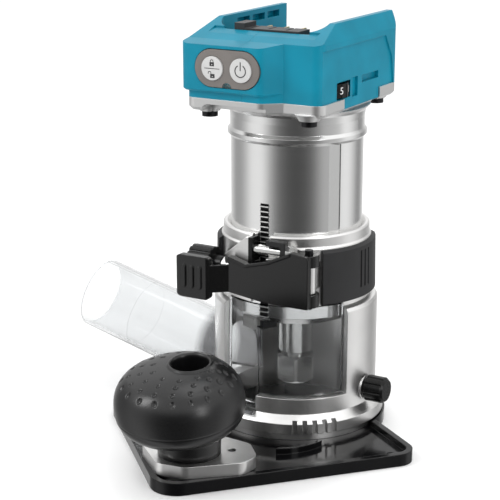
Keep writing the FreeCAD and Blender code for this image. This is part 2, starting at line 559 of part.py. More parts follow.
def make_speed_dial():
    wheel = rod("dial_wheel", "dial_dia", "dial_thick", ("dial_x", "dial_y",
                                                         "dial_z - dial_thick / 2"))
    hole = rod("dial_hole", "dial_bore + 2 * bore_gap", "dial_thick + 2",
               ("dial_x", "dial_y", "dial_z - dial_thick / 2 - 1"))
    flutes = []
    for k in range(16):
        angle = f"({k} * 22.5 deg)"
        flutes.append(rod(f"dial_flute{k}", 1.6, "dial_thick + 2",
                          (f"dial_x + (dial_dia / 2 + 0.4) * cos{angle}",
                           f"dial_y + (dial_dia / 2 + 0.4) * sin{angle}",
                           "dial_z - dial_thick / 2 - 1")))
    keep(cut("dial_cut", wheel, hole, *flutes), "speed_dial")
    stud = rod("dial_stud", "dial_bore", "dial_thick + 3", ("dial_x", "dial_y",
                                                            "dial_z - dial_thick / 2 - 0.6"))
    pot = block("dial_pot", ("dial_x - 5", "dial_y - 5", "dial_z + dial_thick / 2 + 1.2"),
                ("dial_x + 5", "dial_y + 5", "dial_z + dial_thick / 2 + 4"))
    keep(fuse("dial_sensor_whole", stud, pot), "dial_sensor")


def make_battery_terminals():
    """A raised block against the front of the bay, a lower deck behind it and three blades."""
    floor = f"{HOUSING_LOW} + bay_tall"
    front = "-bay_front + 0.5"
    head = block("terminal_head", ("-terminal_half", front, floor),
                 ("terminal_half", f"{front} + terminal_deep", f"{floor} + terminal_tall"))
    deck = block("terminal_deck", ("-terminal_half", front, floor),
                 ("terminal_half", f"{front} + 2.5 * terminal_deep", f"{floor} + terminal_tall / 2"))
    corner = block("terminal_corner", ("-terminal_half", front, floor),
                   ("-terminal_half + terminal_deep / 2", f"{front} + terminal_deep",
                    f"{floor} + terminal_tall + terminal_ear"))
    slots = [block(f"blade_slot{k}", (f"{x} - 0.5", f"{front} + 2", floor),
                   (f"{x} + 0.5", f"{front} + 2.2 * terminal_deep", f"{floor} + terminal_tall + 1"))
             for k, x in enumerate(BLADE_X)]
    keep(cut("terminal_cut", fuse("terminal_body", head, deck, corner), *slots),
         "battery_terminal_block")
    blades = [block(f"blade{k}", (f"{x} - 0.4", f"{front} + 3", floor),
                    (f"{x} + 0.4", f"{front} + 2 * terminal_deep", f"{floor} + terminal_tall - 1"))
              for k, x in enumerate(BLADE_X)]
    keep(fuse("blades", *blades), "battery_terminals")


def make_motor_inside():
    inner = "(barrel_od - 2 * barrel_wall)"
    outer = f"({inner} - 2 * stator_gap)"
    ring = rod("stator_ring", outer, "stator_tall", (0, 0, "stator_low"))
    bore = rod("stator_hole", "stator_bore", "stator_tall + 2", (0, 0, "stator_low - 1"))
    slots = []
    for k in range(6):
        angle = f"({k} * 60 deg)"
        slots.append(rod(f"stator_slot{k}", 7, "stator_tall + 2",
                         (f"21 * cos{angle}", f"21 * sin{angle}", "stator_low - 1")))
    keep(cut("stator_cut", ring, bore, *slots), "stator")
    low = cut("low_bearing_cut",
              rod("low_bearing_ring", "low_bearing_od", "low_bearing_wide",
                  (0, 0, "low_bearing_z")),
              rod("low_bearing_hole", "low_bearing_bore", "low_bearing_wide + 2",
                  (0, 0, "low_bearing_z - 1")))
    keep(low, "lower_bearing")
    top = cut("top_bearing_cut",
              rod("top_bearing_ring", "top_bearing_od", "top_bearing_wide",
                  (0, 0, "top_bearing_z")),
              rod("top_bearing_hole", "top_bearing_bore", "top_bearing_wide + 2",
                  (0, 0, "top_bearing_z - 1")))
    keep(top, "upper_bearing")
    keeper = cut("retainer_cut",
                 rod("retainer_disc", "low_bearing_od + 12", 2,
                     (0, 0, "barrel_low + barrel_floor")),
                 rod("retainer_hole", "low_bearing_od - 6", 4,
                     (0, 0, "barrel_low + barrel_floor - 1")))
    keep(keeper, "bearing_retainer")
    bridge = cut("bridge_cut",
                 rod("bridge_disc", outer, "top_bearing_wide + 2", (0, 0, "top_bearing_z")),
                 rod("bridge_seat", "top_bearing_od + 2 * fit_gap", "top_bearing_wide + 1",
                     (0, 0, "top_bearing_z - 1")),
                 rod("bridge_hole", "top_bearing_bore + 4", 20, (0, 0, "top_bearing_z - 1")),
                 *[rod(f"bridge_vent{k}", 9, 20,
                       (f"20 * cos({k} * 45 deg)", f"20 * sin({k} * 45 deg)",
                        "top_bearing_z - 1")) for k in range(8)])
    keep(bridge, "upper_bearing_bridge")
    board = block("board_plate", ("-24", "-22", f"{HOUSING_LOW} + 9"),
                  ("13", "20", f"{HOUSING_LOW} + 10.6"))
    caps = [rod(f"board_cap{k}", 7, 5, (f"-16 + {k} * 9", 12, f"{HOUSING_LOW} + 4"))
            for k in range(3)]
    chip = block("board_chip", ("-18", "-16", f"{HOUSING_LOW} + 10.6"),
                 ("4", "4", f"{HOUSING_LOW} + 13"))
    keep(fuse("board_whole", board, chip, *caps), "control_board")
    lamps = [rod(f"work_lamp{k}", "lamp_dia + 1.2", 2.6, (*spot_at(LAMP_REACH, az),
                                                          "barrel_low - 0.6"))
             for k, az in enumerate(LAMP_AZIMUTHS)]
    keep(fuse("work_lamp_pair", *lamps), "work_lamps")


def make_shaft_lock():
    """A sprung slider under the barrel floor that is pushed towards the spindle."""
    top = "barrel_low"
    guide_low = "barrel_low - 6.6"
    start = ("15.5", "-5.6", guide_low)
    guide = block("lock_guide_block", start, ("24", "5.6", top))
    carry_round(guide, start, LOCK_TURN)
    room = block("lock_room", ("15", "-3.3", "barrel_low - 5.4"), ("26", "3.3", "barrel_low - 0.9"))
    carry_round(room, ("15", "-3.3", "barrel_low - 5.4"), LOCK_TURN)
    keep(cut("lock_guide_cut", guide, room), "shaft_lock_guide")
    slider = block("lock_slider", ("11.6", "-3.1", "barrel_low - 5.2"),
                   ("28", "3.1", "barrel_low - 1.1"))
    carry_round(slider, ("11.6", "-3.1", "barrel_low - 5.2"), LOCK_TURN)
    thumb = block("lock_thumb", ("26.6", "-4.6", "barrel_low - 6.4"),
                  ("28.6", "4.6", "barrel_low - 0.6"))
    carry_round(thumb, ("26.6", "-4.6", "barrel_low - 6.4"), LOCK_TURN)
    keep(fuse("lock_whole", slider, thumb), "shaft_lock_button")


def make_spindle():
    seat = "low_bearing_bore / 2"
    profile = [
        ("spindle_bore / 2", "spindle_low"), ("spindle_dia / 2 - 1.5", "spindle_low"),
        ("spindle_dia / 2 - 1.5", "nut_low + nut_tall + 1"),
        ("spindle_dia / 2", "nut_low + nut_tall + 2"), ("spindle_dia / 2", "low_bearing_z - 1.5"),
        (f"{seat} + 2", "low_bearing_z"), (seat, "low_bearing_z"),
        (seat, "fan_low - 1"), ("rotor_shaft / 2", "fan_low - 1"),
        ("rotor_shaft / 2", "top_bearing_z"), ("top_bearing_bore / 2", "top_bearing_z"),
        ("top_bearing_bore / 2", "top_bearing_z + top_bearing_wide + 4"),
        ("0", "top_bearing_z + top_bearing_wide + 4"), ("0", "spindle_low + 22"),
        ("spindle_bore / 2", "spindle_low + 18"),
    ]
    keep(turned("spindle_turned", profile), "spindle_shaft")
    core = cut("rotor_cut", rod("rotor_drum", "rotor_dia", "stator_tall - 2",
                                (0, 0, "stator_low + 1")),
               rod("rotor_hole", "rotor_shaft", "stator_tall + 4", (0, 0, "stator_low - 2")))
    keep(core, "rotor_core")
    disc = cut("fan_disc_cut",
               fuse("fan_disc", rod("fan_hub", "rotor_shaft + 8", "fan_tall", (0, 0, "fan_low")),
                    rod("fan_plate", "fan_dia", 1.6, (0, 0, "fan_low")),
                    *[fan_blade(k) for k in range(12)]),
               rod("fan_hole", "rotor_shaft", "fan_tall + 2", (0, 0, "fan_low - 1")))
    keep(disc, "cooling_fan")
    collet = turned("collet_turned", [
        ("collet_bore / 2", "nut_low + 2"), ("collet_bore / 2 + 2.6", "nut_low + 2"),
        ("spindle_bore / 2 + 1.6", "spindle_low - 3"), ("spindle_bore / 2 + 1.6",
                                                        "spindle_low - 0.4"),
        ("spindle_bore / 2 - bore_gap", "spindle_low - 0.4"),
        ("spindle_bore / 2 - bore_gap", "spindle_low + 14"),
        ("collet_bore / 2", "spindle_low + 14")])
    slits = [block("collet_slit_x", ("-9", "-0.4", "nut_low"), ("9", "0.4", "spindle_low + 9")),
             block("collet_slit_y", ("-0.4", "-9", "nut_low"), ("0.4", "9", "spindle_low + 9"))]
    keep(cut("collet_cut", collet, *slits), "collet")
    nut = turned("nut_turned", [
        ("collet_bore / 2 + 3", "nut_low"), ("nut_across / 2 - 1.2", "nut_low"),
        ("nut_across / 2", "nut_low + 1.2"), ("nut_across / 2", "nut_low + nut_tall - 1.2"),
        ("nut_across / 2 - 1.2", "nut_low + nut_tall"),
        ("spindle_dia / 2 - 1.5 + bore_gap", "nut_low + nut_tall"),
        ("spindle_dia / 2 - 1.5 + bore_gap", "spindle_low - 3.6"),
        ("collet_bore / 2 + 3", "nut_low + 2.5")])
    flats = hexagon("nut_flats", "nut_across * 0.9", "nut_low - 1", "nut_low + nut_tall + 1")
    keep(common("nut_whole", nut, flats), "collet_nut")


def fan_blade(k):
    start = ("rotor_shaft / 2 + 3.5", "-0.6", "fan_low")
    blade = block(f"fan_blade{k}", start, ("fan_dia / 2 - 0.5", "0.6", "fan_low + fan_tall"))
    return carry_round(blade, start, f"{k} * 30")


def hexagon(name, across, low, high, role="XY_Plane", at=(0, 0), lean=0):
    """A six-sided bar; across is the distance over its flats, lean turns its corners."""
    reach = f"({across}) / (2 * cos(30 deg))"
    points = [(f"{at[0]} + {reach} * cos({60 * k + lean} deg)",
               f"{at[1]} + {reach} * sin({60 * k + lean} deg)")
              for k in range(6)]
    return prism(name, points, low, high, role)


def make_base_casting():
    """The cast collar, legs and foot ring, split at the front for the clamp."""
    bore = "(barrel_od / 2 + bore_gap)"
    profile = [
        ("chamber_od / 2", "sole_wall"), ("sole_radius - sole_wall - play", "sole_wall"),
        ("sole_radius - sole_wall - play", "sole_thick + 0.8"),
        ("foot_od / 2", "sole_thick + 0.8"), ("foot_od / 2", "foot_top - 1"),
        ("foot_od / 2 - 1", "foot_top"), ("leg_od / 2", "foot_top + 2.5"),
        ("leg_od / 2", "collar_low - 4.5"), ("leg_od / 2 - 1", "collar_low - 3"),
        ("collar_od / 2", "collar_low - 2"), ("collar_od / 2", "collar_top - lip_tall"),
        ("collar_od / 2 - lip_step", "collar_top - lip_tall + lip_step"),
        ("collar_od / 2 - lip_step", "collar_top - 0.8"),
        ("collar_od / 2 - lip_step - 0.8", "collar_top"),
        (f"{bore} + mouth_chamfer", "collar_top"), (bore, "collar_top - mouth_chamfer"),
        (bore, "collar_low + 3"), ("chamber_od / 2", "collar_low"),
    ]
    shell = turned("casting_shell", profile)
    ear_low = "pinion_z - 8"
    ear_back = "-barrel_od / 2 + 6"
    slot_side = "-split_wide / 2 - 0.01"
    left_ear = prism("left_ear", [
        ("-ear_left", ear_low), (slot_side, ear_low), (slot_side, "collar_top - 1"),
        (f"{slot_side} - 1.5", "collar_top - 1"), ("-ear_left", "collar_top - ear_slope")],
        "-ear_face", ear_back, "XZ_Plane")
    right_ear = block("right_ear", ("split_wide / 2 + 0.01", "-ear_face", ear_low),
                      ("ear_right", ear_back, "tie_z - tie_dia / 2 - 1"))
    boss = rod("shaft_boss", "pinion_shaft_dia + 5", "14", ("-20", PINION_Y, "pinion_z"), "x")
    lug = rod("lever_lug", LUG_DIA, "lug_top - lug_low",
              ("lever_pin_x", "lever_pin_y", "lug_low"))
    lug_root = block("lug_root", ("lever_pin_x - 5", "lever_pin_y", "lug_low"),
                     ("lever_pin_x + 0.5", "lever_pin_y + 11", "lug_top"))
    guide_boss = rod("guide_boss", "guide_head - 1", "guide_face - 28",
                     ("32", "guide_y", "guide_z"), "x")
    solid = fuse("casting_solid", shell, left_ear, right_ear, boss, lug, lug_root, guide_boss)
    window_low = "foot_top + 1"
    windows = [
        wedge("window_front_left", "foot_od + 20", window_low, "collar_low", "window_left", 0),
        wedge("window_front_right", "foot_od + 20", f"{window_low} + sill_tall", "collar_low",
              -0.5, "window_right"),
        wedge("window_port", "foot_od + 20", window_low, "port_top", "port_left", "port_right"),
        block("split", ("-split_wide / 2", "-foot_od", "collar_low - 2"),
              ("split_wide / 2", "-20", "collar_top + 1")),
        rod("casting_bore", f"2 * {bore}", "collar_top - collar_low",
            (0, 0, "collar_low + 3")),
        rod("casting_chamber", "chamber_od", "collar_low - sole_wall + 1",
            (0, 0, "sole_wall - 1")),
        rod("shaft_hole", "pinion_shaft_dia + 2 * bore_gap", "40", ("-22", PINION_Y, "pinion_z"),
            "x"),
        rod("tie_thread", "tie_dia", "ear_left", ("tie_left - 1", "tie_y", "tie_z"), "x"),
        rod("tie_groove", "tie_dia + play", "2 * ear_right", ("0", "tie_y", "tie_z"), "x"),
        rod("nut_room", "2 * tie_dia", "tie_nut_thick + 2", ("ear_right", "tie_y", "tie_z"),
            "x"),
        rod("pin_hole", "lever_pin_dia", "30", ("lever_pin_x", "lever_pin_y", "lug_low - 8"), "z"),
        rod("guide_hole", "guide_shank + 2 * bore_gap", "30", ("26", "guide_y", "guide_z"), "x"),
    ]
    for k in range(5):
        start = ("foot_od / 2 - 1.6", "-notch_wide / 2", "sole_wall - 1")
        notch = block(f"foot_notch{k}", start, ("foot_od / 2 + 2", "notch_wide / 2",
                                                "foot_top + 2"))
        windows.append(carry_round(notch, start, f"-90 + 28 + {k} * 6.4"))
    for k in range(4):
        x, y = spot_at(SOLE_SCREW_REACH, SOLE_SCREW_AZIMUTHS[k])
        windows.append(rod(f"foot_tap{k}", "screw_shank", 9, (x, y, "sole_wall - 1")))
    keep(cut("casting_cut", solid, *windows), "base_casting")


def make_grip_pads():
    for sign, label in ((1, "grip_pad_right"), (-1, "grip_pad_left")):
        near = "pad_az_near" if sign > 0 else "-pad_az_far"
        skin = "(collar_od / 2 + 0.02)"
        profile = [(skin, "pad_low"), (f"{skin} + pad_thick", "pad_low + 1.2"),
                   (f"{skin} + pad_thick - 0.4", "pad_top - 1.2"), (skin, "pad_top")]
        pad = turned(label + "_shell", profile, "pad_az_far - pad_az_near", f"{near} - 90")
        grooves = []
        for k in range(3):
            start = (f"{skin} + pad_thick - 0.9", "-0.6", "pad_low + 6")
            groove = block(f"{label}_groove{k}", start,
                           (f"{skin} + pad_thick + 2", "0.6", "pad_top - 3"))
            middle = f"{near} - 90 + (pad_az_far - pad_az_near) / 2"
            grooves.append(carry_round(groove, start, f"{middle} + {(k - 1) * 5}"))
        keep(cut(label + "_cut", pad, *grooves), label)


def make_sole():
    """The flat sole: a round back, two shoulders and a rounded tip under the grip."""
    disc = rod("sole_disc", "2 * sole_radius", "sole_thick")
    points = [("sole_root_x", "sole_root_y"), ("sole_right_x", "sole_right_y"),
              ("sole_tip_x", "sole_tip_y"), ("sole_left_x", "sole_left_y"),
              ("-sole_root_x", "sole_root_y")]
    kite = prism("sole_kite", points, "0", "sole_thick",
                 rounds=[("sole_corner", (1, 3)), ("sole_tip_round", (2,))])
    slab = fuse("sole_slab", disc, kite)
    document.recompute()
    slab.Refine = True
    document.recompute()
    top = [f"Face{k}" for k, face in enumerate(slab.Shape.Faces, start=1)
           if face.normalAt(0, 0).z > 0.9]
    tray = document.addObject("Part::Thickness", "sole_tray")
    tray.Faces = (slab, top)
    tray.setExpression("Value", rule("-sole_wall"))
    tray.Join = 0
    tools = [rod("bit_opening", "bit_hole", "sole_thick + 2", (0, 0, "-1"))]
    for k in range(4):
        x, y = spot_at(SOLE_SCREW_REACH, SOLE_SCREW_AZIMUTHS[k])
        tools.append(rod(f"sole_screw_hole{k}", "screw_shank + play", 12, (x, y, "-1")))
        tools.append(cone(f"sole_sink{k}", "screw_head + 0.8", "screw_shank + play", "2.1",
                          (x, y, "-0.01")))
    for k, (x, y) in enumerate(BRACKET_SCREWS):
        tools.append(rod(f"bracket_hole{k}", "screw_shank + play", 12, (x, y, "-1")))
        tools.append(cone(f"bracket_sink{k}", "screw_head + 0.8", "screw_shank + play", "2.1",
                          (x, y, "-0.01")))
    tools.append(rod("spare_hole", "screw_shank + play", 12,
                     ("sole_right_x - 14", "sole_right_y - 3", "-1")))
    rib_hoop = cut("rib_hoop", rod("rib_outer", "2 * rib_reach", "sole_thick - sole_wall + 0.1",
                                   ("rib_x", "rib_y", "sole_wall - 0.1")),
                   rod("rib_inner", "2 * (rib_reach - rib_wide)", "sole_thick",
                       ("rib_x", "rib_y", "sole_wall - 1")))
    rib_part = block("rib_part", ("rib_x + rib_reach / 2", "rib_y - rib_reach", "0"),
                     ("rib_x + rib_reach + 1", "rib_y - rib_reach / 5", "2 * sole_thick"))
    rib_stop = rod("rib_stop", "foot_od + 2 * play", "2 * sole_thick", (0, 0, "0"))
    rib = cut("sole_rib", common("rib_arc", rib_hoop, rib_part), rib_stop)
    keep(fuse("sole_whole", cut("sole_cut", tray, *tools), rib), "base_plate")


def flush_screw(name, x, y, reach):
    head = cone(name + "_head", "screw_head", "screw_shank - 0.2", "2.0", (x, y, "0.1"))
    shank = rod(name + "_shank", "screw_shank - 0.1", reach, (x, y, "0.2"))
    socket = rod(name + "_socket", "screw_shank / 2", 1.5, (x, y, "-0.4"))
    return cut(name, fuse(name + "_body", head, shank), socket)


def make_sole_screws():
    screws = [flush_screw(f"sole_screw{k}", *spot_at(SOLE_SCREW_REACH, azimuth),
                          "sole_wall + 7")
              for k, azimuth in enumerate(SOLE_SCREW_AZIMUTHS)]
    keep(fuse("sole_screws", *screws), "base_plate_screws")
    screws = [flush_screw(f"bracket_screw{k}", x, y, "bracket_top - 0.6")
              for k, (x, y) in enumerate(BRACKET_SCREWS)]
    keep(fuse("bracket_screw_pair", *screws), "bracket_screws")


def make_grip():
    points = [("grip_x + 28.5", "grip_y + 1"), ("grip_x + 8", "grip_y - 17"),
              ("grip_x - 6", "grip_y - 19"), ("grip_x - 25", "grip_y - 3"),
              ("grip_x - 25", "grip_y + 12"), ("grip_x - 8", "grip_y + 24"),
              ("grip_x + 20", "grip_y + 22"), ("grip_x + 30", "grip_y + 11")]
    top = prism("bracket_plate", points, "sole_thick", "bracket_top",
                rounds=[("bracket_round", tuple(range(len(points))))])
    seat = rod("bracket_seat", "neck_dia + 2", "sole_wall + 1", ("grip_x", "grip_y", "sole_wall"))
    feet = [rod(f"bracket_foot{k}", "2 * screw_shank", "sole_wall + 1", (x, y, "sole_wall"))
            for k, (x, y) in enumerate(BRACKET_SCREWS)]
    plate = fuse("bracket_solid", top, seat, *feet)
    tools = [rod(f"bracket_tap{k}", "screw_shank", "bracket_top", (x, y, "0"))
             for k, (x, y) in enumerate(BRACKET_SCREWS)]
    tools.append(rod("bracket_bolt_hole", "grip_bolt + play", "bracket_top + 2",
                     ("grip_x", "grip_y", "0")))
    hexhole = hexagon("bolt_head_seat", "grip_bolt * 1.65 + play", "sole_wall - 1",
                      "sole_wall + 5.3", at=("grip_x", "grip_y"))
    tools.append(hexhole)
    keep(cut("bracket_cut", plate, *tools), "grip_bracket")

    ball = swollen_ball()
    neck = rod("grip_neck", "neck_dia", "ball_z - bracket_top - 4",
               ("grip_x", "grip_y", "bracket_top"))
    crown = "ball_z + ball_over"
    well = rod("grip_well", "grip_hole", "2 * ball_over", ("grip_x - 0.5", "grip_y - 2.5",
                                                           "bracket_top + 21"))
    bolt_hole = rod("grip_bolt_hole", "grip_bolt + play", "2 * ball_over",
                    ("grip_x", "grip_y", "bracket_top - 1"))
    keep(cut("grip_cut", fuse("grip_body", ball, neck), well, bolt_hole), "grip_knob")

    shank = rod("bolt_shank", "grip_bolt", f"{crown} - sole_wall - 18",
                ("grip_x", "grip_y", "sole_wall + 0.1"))
    head = hexagon("bolt_head", "grip_bolt * 1.65", "sole_wall + 0.1", "sole_wall + 5.0",
                   at=("grip_x", "grip_y"))
    keep(fuse("bolt_whole", shank, head), "knob_bolt")
    washer_z = "bracket_top + 21.02"
    nut_z = "bracket_top + 22.44"
    washer = cut("washer_cut", rod("washer_disc", "grip_bolt * 1.7", 1.4,
                                   ("grip_x", "grip_y", washer_z)),
                 rod("washer_hole", "grip_bolt", 3, ("grip_x", "grip_y", f"{washer_z} - 1")))
    keep(washer, "knob_washer")
    nut = cut("knob_nut_cut", hexagon("knob_nut_hex", "grip_bolt * 1.4", nut_z,
                                      f"{nut_z} + 4.5", at=("grip_x", "grip_y")),
              rod("knob_nut_hole", "grip_bolt", 9, ("grip_x", "grip_y", f"{nut_z} - 1")))
    keep(nut, "knob_nut")


def swollen_ball():
    """The rubber ball: a superellipse turned about its own axis, fuller over its equator."""
    half, over, under, fullness, tilt = (
        float(sheet.get(alias))
        for alias in ("ball_dia", "ball_over", "ball_under", "ball_fullness", "ball_tilt"))
    power = 2.0 / fullness
    points = []
    for step in range(BALL_STEPS + 1):
        angle = math.pi * step / BALL_STEPS - math.pi / 2
        rise = math.copysign(abs(math.sin(angle)) ** power, angle)
        reach = half / 2 * abs(math.cos(angle)) ** power if 0 < step < BALL_STEPS else 0.0
        points.append(FreeCAD.Vector(reach, 0, rise * (over if rise > 0 else under)))
    curve = Part.BSplineCurve()
    curve.interpolate(points)
    side = Part.Wire([curve.toShape(), Part.makeLine(points[-1], points[0])])
    ball = document.addObject("Part::Feature", "grip_ball")
    ball.Shape = Part.Face(side).revolve(FreeCAD.Vector(), UPRIGHT, 360)
    ball.Placement = FreeCAD.Placement(FreeCAD.Vector(),
                                       FreeCAD.Rotation(FreeCAD.Vector(1, 0, 0), tilt))
    return place(ball, ("ball_x", "ball_y", "ball_z"))


def make_clear_parts():
    wall = "clear_wall"
    skin = "(chamber_od / 2 + 0.5)"
    low = "foot_top + 1.3"
    profile = [
        (skin, low), ("foot_od / 2 - 0.6", low), ("foot_od / 2 - 0.6", f"{low} + {wall}"),
        ("leg_od / 2 - 1", f"{low} + {wall}"), ("leg_od / 2 - 1", f"{low} + {wall} + 3"),
        (f"{skin} + {wall} + 1", f"{low} + {wall} + 4"),
        (f"{skin} + {wall}", "collar_low - 0.6"), (skin, "collar_low - 0.6")]
    left = turned("deflector_left", profile, "-window_left - 0.6", "window_left + 0.6 - 90")
    shell_profile = [
        (skin, f"{low} + sill_tall"), (f"{skin} + {wall}", f"{low} + sill_tall"),
        (f"{skin} + {wall}", "collar_low - 0.6"), (skin, "collar_low - 0.6")]
    right = turned("deflector_right", shell_profile, "window_right - 0.6 + 0.2", "-90 - 0.2")
    keep(fuse("deflector_whole", left, right), "chip_deflector")

    rise = "(tube_rise * 1 deg)"
    root = (f"tube_root_x + tube_root_run * cos{rise}", 0,
            f"tube_root_z - tube_root_run * sin{rise}")
    long = f"(tube_root_x - tube_mouth_x) / cos{rise} + tube_root_run"
    seat = (f"tube_mouth_x + hose_seat_long * cos{rise}", 0,
            f"tube_root_z + (tube_root_x - tube_mouth_x) * tan{rise} - hose_seat_long * sin{rise}")
    bore = "tube_od - 2 * tube_wall"
    tube = rising_rod("tube_skin", "tube_od", long, root)
    hollow = [rising_rod("tube_hole", bore, f"{long} + 1", root),
              rising_rod("hose_seat", f"{bore} + 2 * hose_seat_step", "hose_seat_long + 1", seat)]
    plate = turned("port_plate", [
        (skin, "foot_top + 1.3"), (f"{skin} + {wall}", "foot_top + 1.3"),
        (f"{skin} + {wall}", "port_top - 0.3"), (skin, "port_top - 0.3")],
        "port_right - port_left - 1", "port_left + 0.5 - 90")
    inside = rod("port_inside", f"2 * {skin}", 120, (0, 0, -20))
    foot = block("port_foot", ("tube_mouth_x - 20", "-40", "-40"), ("0", "40", "foot_top + 1.3"))
    keep(cut("nozzle_cut", fuse("nozzle_body", tube, plate), *hollow, inside, foot),
         "dust_nozzle")


def rising_rod(name, dia, length, at):
    """A rod that points to the left and rises with the dust tube."""
    thing = place(rod(name, dia, length), at, FreeCAD.Rotation(FreeCAD.Vector(0, 1, 0), -90))
    thing.setExpression("Placement.Rotation.Angle", rule("-90 + tube_rise"))
    return thing


def make_clamp():
    """The hinge pin, the tie bolt across the split with its bridge and nut, and the slot liner."""
    keep(rod("pin_rod", "lever_pin_dia - 2 * fit_gap", "lug_top - lug_low + 16",
             ("lever_pin_x", "lever_pin_y", "lug_low - 8")), "lever_pin")
    keep(rod("tie_rod", "tie_dia", "ear_right + tie_nut_thick + play - tie_left",
             ("tie_left", "tie_y", "tie_z"), "x"), "tie_bolt")
    nut_low = "ear_right + 0.02"
    nut = cut("tie_nut_cut",
              hexagon("tie_nut_hex", "tie_dia + 2 * tie_nut_wall", nut_low,
                      f"{nut_low} + tie_nut_thick", "YZ_Plane", at=("tie_y", "tie_z"), lean=30),
              rod("tie_nut_hole", "tie_dia", "3 * tie_nut_thick", ("ear_right - 1", "tie_y", "tie_z"),
                  "x"))
    keep(nut, "tie_nut")
    front = "-(lever_face - lever_thick - lever_gap)"
    back = "-(collar_od / 2 + 0.05)"
    leg_low = "tie_z - tie_dia / 2 - 0.98"
    bar = block("bridge_bar", ("split_wide / 2 + 0.2", front, "tie_z + tie_dia / 2 + 0.6"),
                ("ear_right", back, "tie_z + tie_dia / 2 + 0.6 + bridge_thick"))
    leg = block("bridge_leg", ("ear_right - bridge_thick", front, leg_low),
                ("ear_right", back, "tie_z + tie_dia / 2 + 1"))
    groove = rod("bridge_groove", "tie_dia + play", "2 * ear_right", ("0", "tie_y", "tie_z"), "x")
    keep(cut("bridge_cut_out", fuse("bridge_body", bar, leg), groove), "clamp_bridge")
    liner = block("liner_block", ("-split_wide / 2 + 0.02", front, "tie_z - tie_dia - 1"),
                  ("-rack_wide / 2 - play", "-(rack_line + 1)", "collar_top - 1"))
    hole = rod("liner_hole", "tie_dia + play", "2 * split_wide", ("-split_wide", "tie_y", "tie_z"), "x")
    keep(cut("liner_cut", liner, hole), "slot_liner")


def make_clamp_lever():
    """A moulded lever: a wide plate over the split, a narrow neck and a stepped tab with ridges."""
    near, inner = "-lever_face", "-lever_face + lever_thick"
    end = "lever_pin_x + 3"
    level = [
        (end, near), (end, inner), ("lever_neck + 1.5", inner),
        ("lever_tab - 0.5", "-tab_face + lever_thick"), ("lever_tip + 0.5", "-tab_face + lever_thick"),
        ("lever_tip", "-tab_face"), ("lever_tab - 1.5", "-tab_face"), ("lever_neck", near)]
    plan = prism("lever_plan", level, "lever_low - 10", "lever_high + 10", rounds=[("1.5", (4, 5))])
    waist_low, waist_top = "lever_low + 2.5", "lever_high - 10.5"
    tab_low, tab_top = "lever_low - 1.2", "lever_high - 6.4"
    brow = [("lever_pin_x - 6.5", "lever_high"), ("lever_pin_x - 18.5", "lever_high - 5.5"),
            ("lever_pin_x - 30.5", "lever_high - 8.6"), ("lever_neck", "lever_high - 6")]
    face = [(end, "lever_low"), (end, "lever_high - 1"), *brow,
            ("lever_neck", waist_top), ("lever_tab", waist_top), ("lever_tab", tab_top),
            ("lever_tip", tab_top), ("lever_tip", tab_low), ("lever_tab", tab_low),
            ("lever_tab", waist_low), ("lever_neck", waist_low),
            ("lever_pin_x - 20.5", "lever_low")]
    front = prism("lever_front", face, "-tab_face - 9", "-20", "XZ_Plane",
                  rounds=[("tab_round", (9, 10)), ("2.0", (1, 8, 11))])
    skin = common("lever_skin", plan, front)
    lip = prism("lever_lip", [*brow, *[(x, f"{z} - lip_wide") for x, z in reversed(brow)]],
                "-lever_face - lip_proud", "-lever_face + 0.5", "XZ_Plane")
    lobes = []
    for k, (low, high) in enumerate((("lever_low", "lug_low - play"),
                                     ("lug_top + play", "lever_high - 1"))):
        lobes.append(rod(f"lever_lobe{k}", "lobe_dia", f"({high}) - ({low})",
                         ("lever_pin_x", "lever_pin_y", low)))
        lobes.append(block(f"lever_web{k}", ("lever_pin_x - lobe_dia / 2", "-lever_face + 1", low),
                           (end, "lever_pin_y", high)))
    hole = rod("lever_hole", "lever_pin_dia + 2 * bore_gap", "lever_high",
               ("lever_pin_x", "lever_pin_y", "lever_low - 10"))
    ridges = []
    for k in range(3):
        x = f"lever_tip + ridge_first + {k} * ridge_pitch"
        ridges.append(block(f"tab_ridge{k}", (f"{x} - ridge_wide / 2", "-tab_face - ridge_proud",
                                              "ridge_low"),
                            (f"{x} + ridge_wide / 2", "-tab_face + 0.5", "ridge_high")))
        ridges += [rod(f"tab_ridge_end{k}{end_number}", "ridge_wide", "ridge_proud + 0.5",
                       (x, "-tab_face - ridge_proud", z), "y")
                   for end_number, z in enumerate(("ridge_low", "ridge_high"))]
    keep(cut("lever_cut", fuse("lever_body", skin, lip, *lobes, *ridges), hole), "clamp_lever")


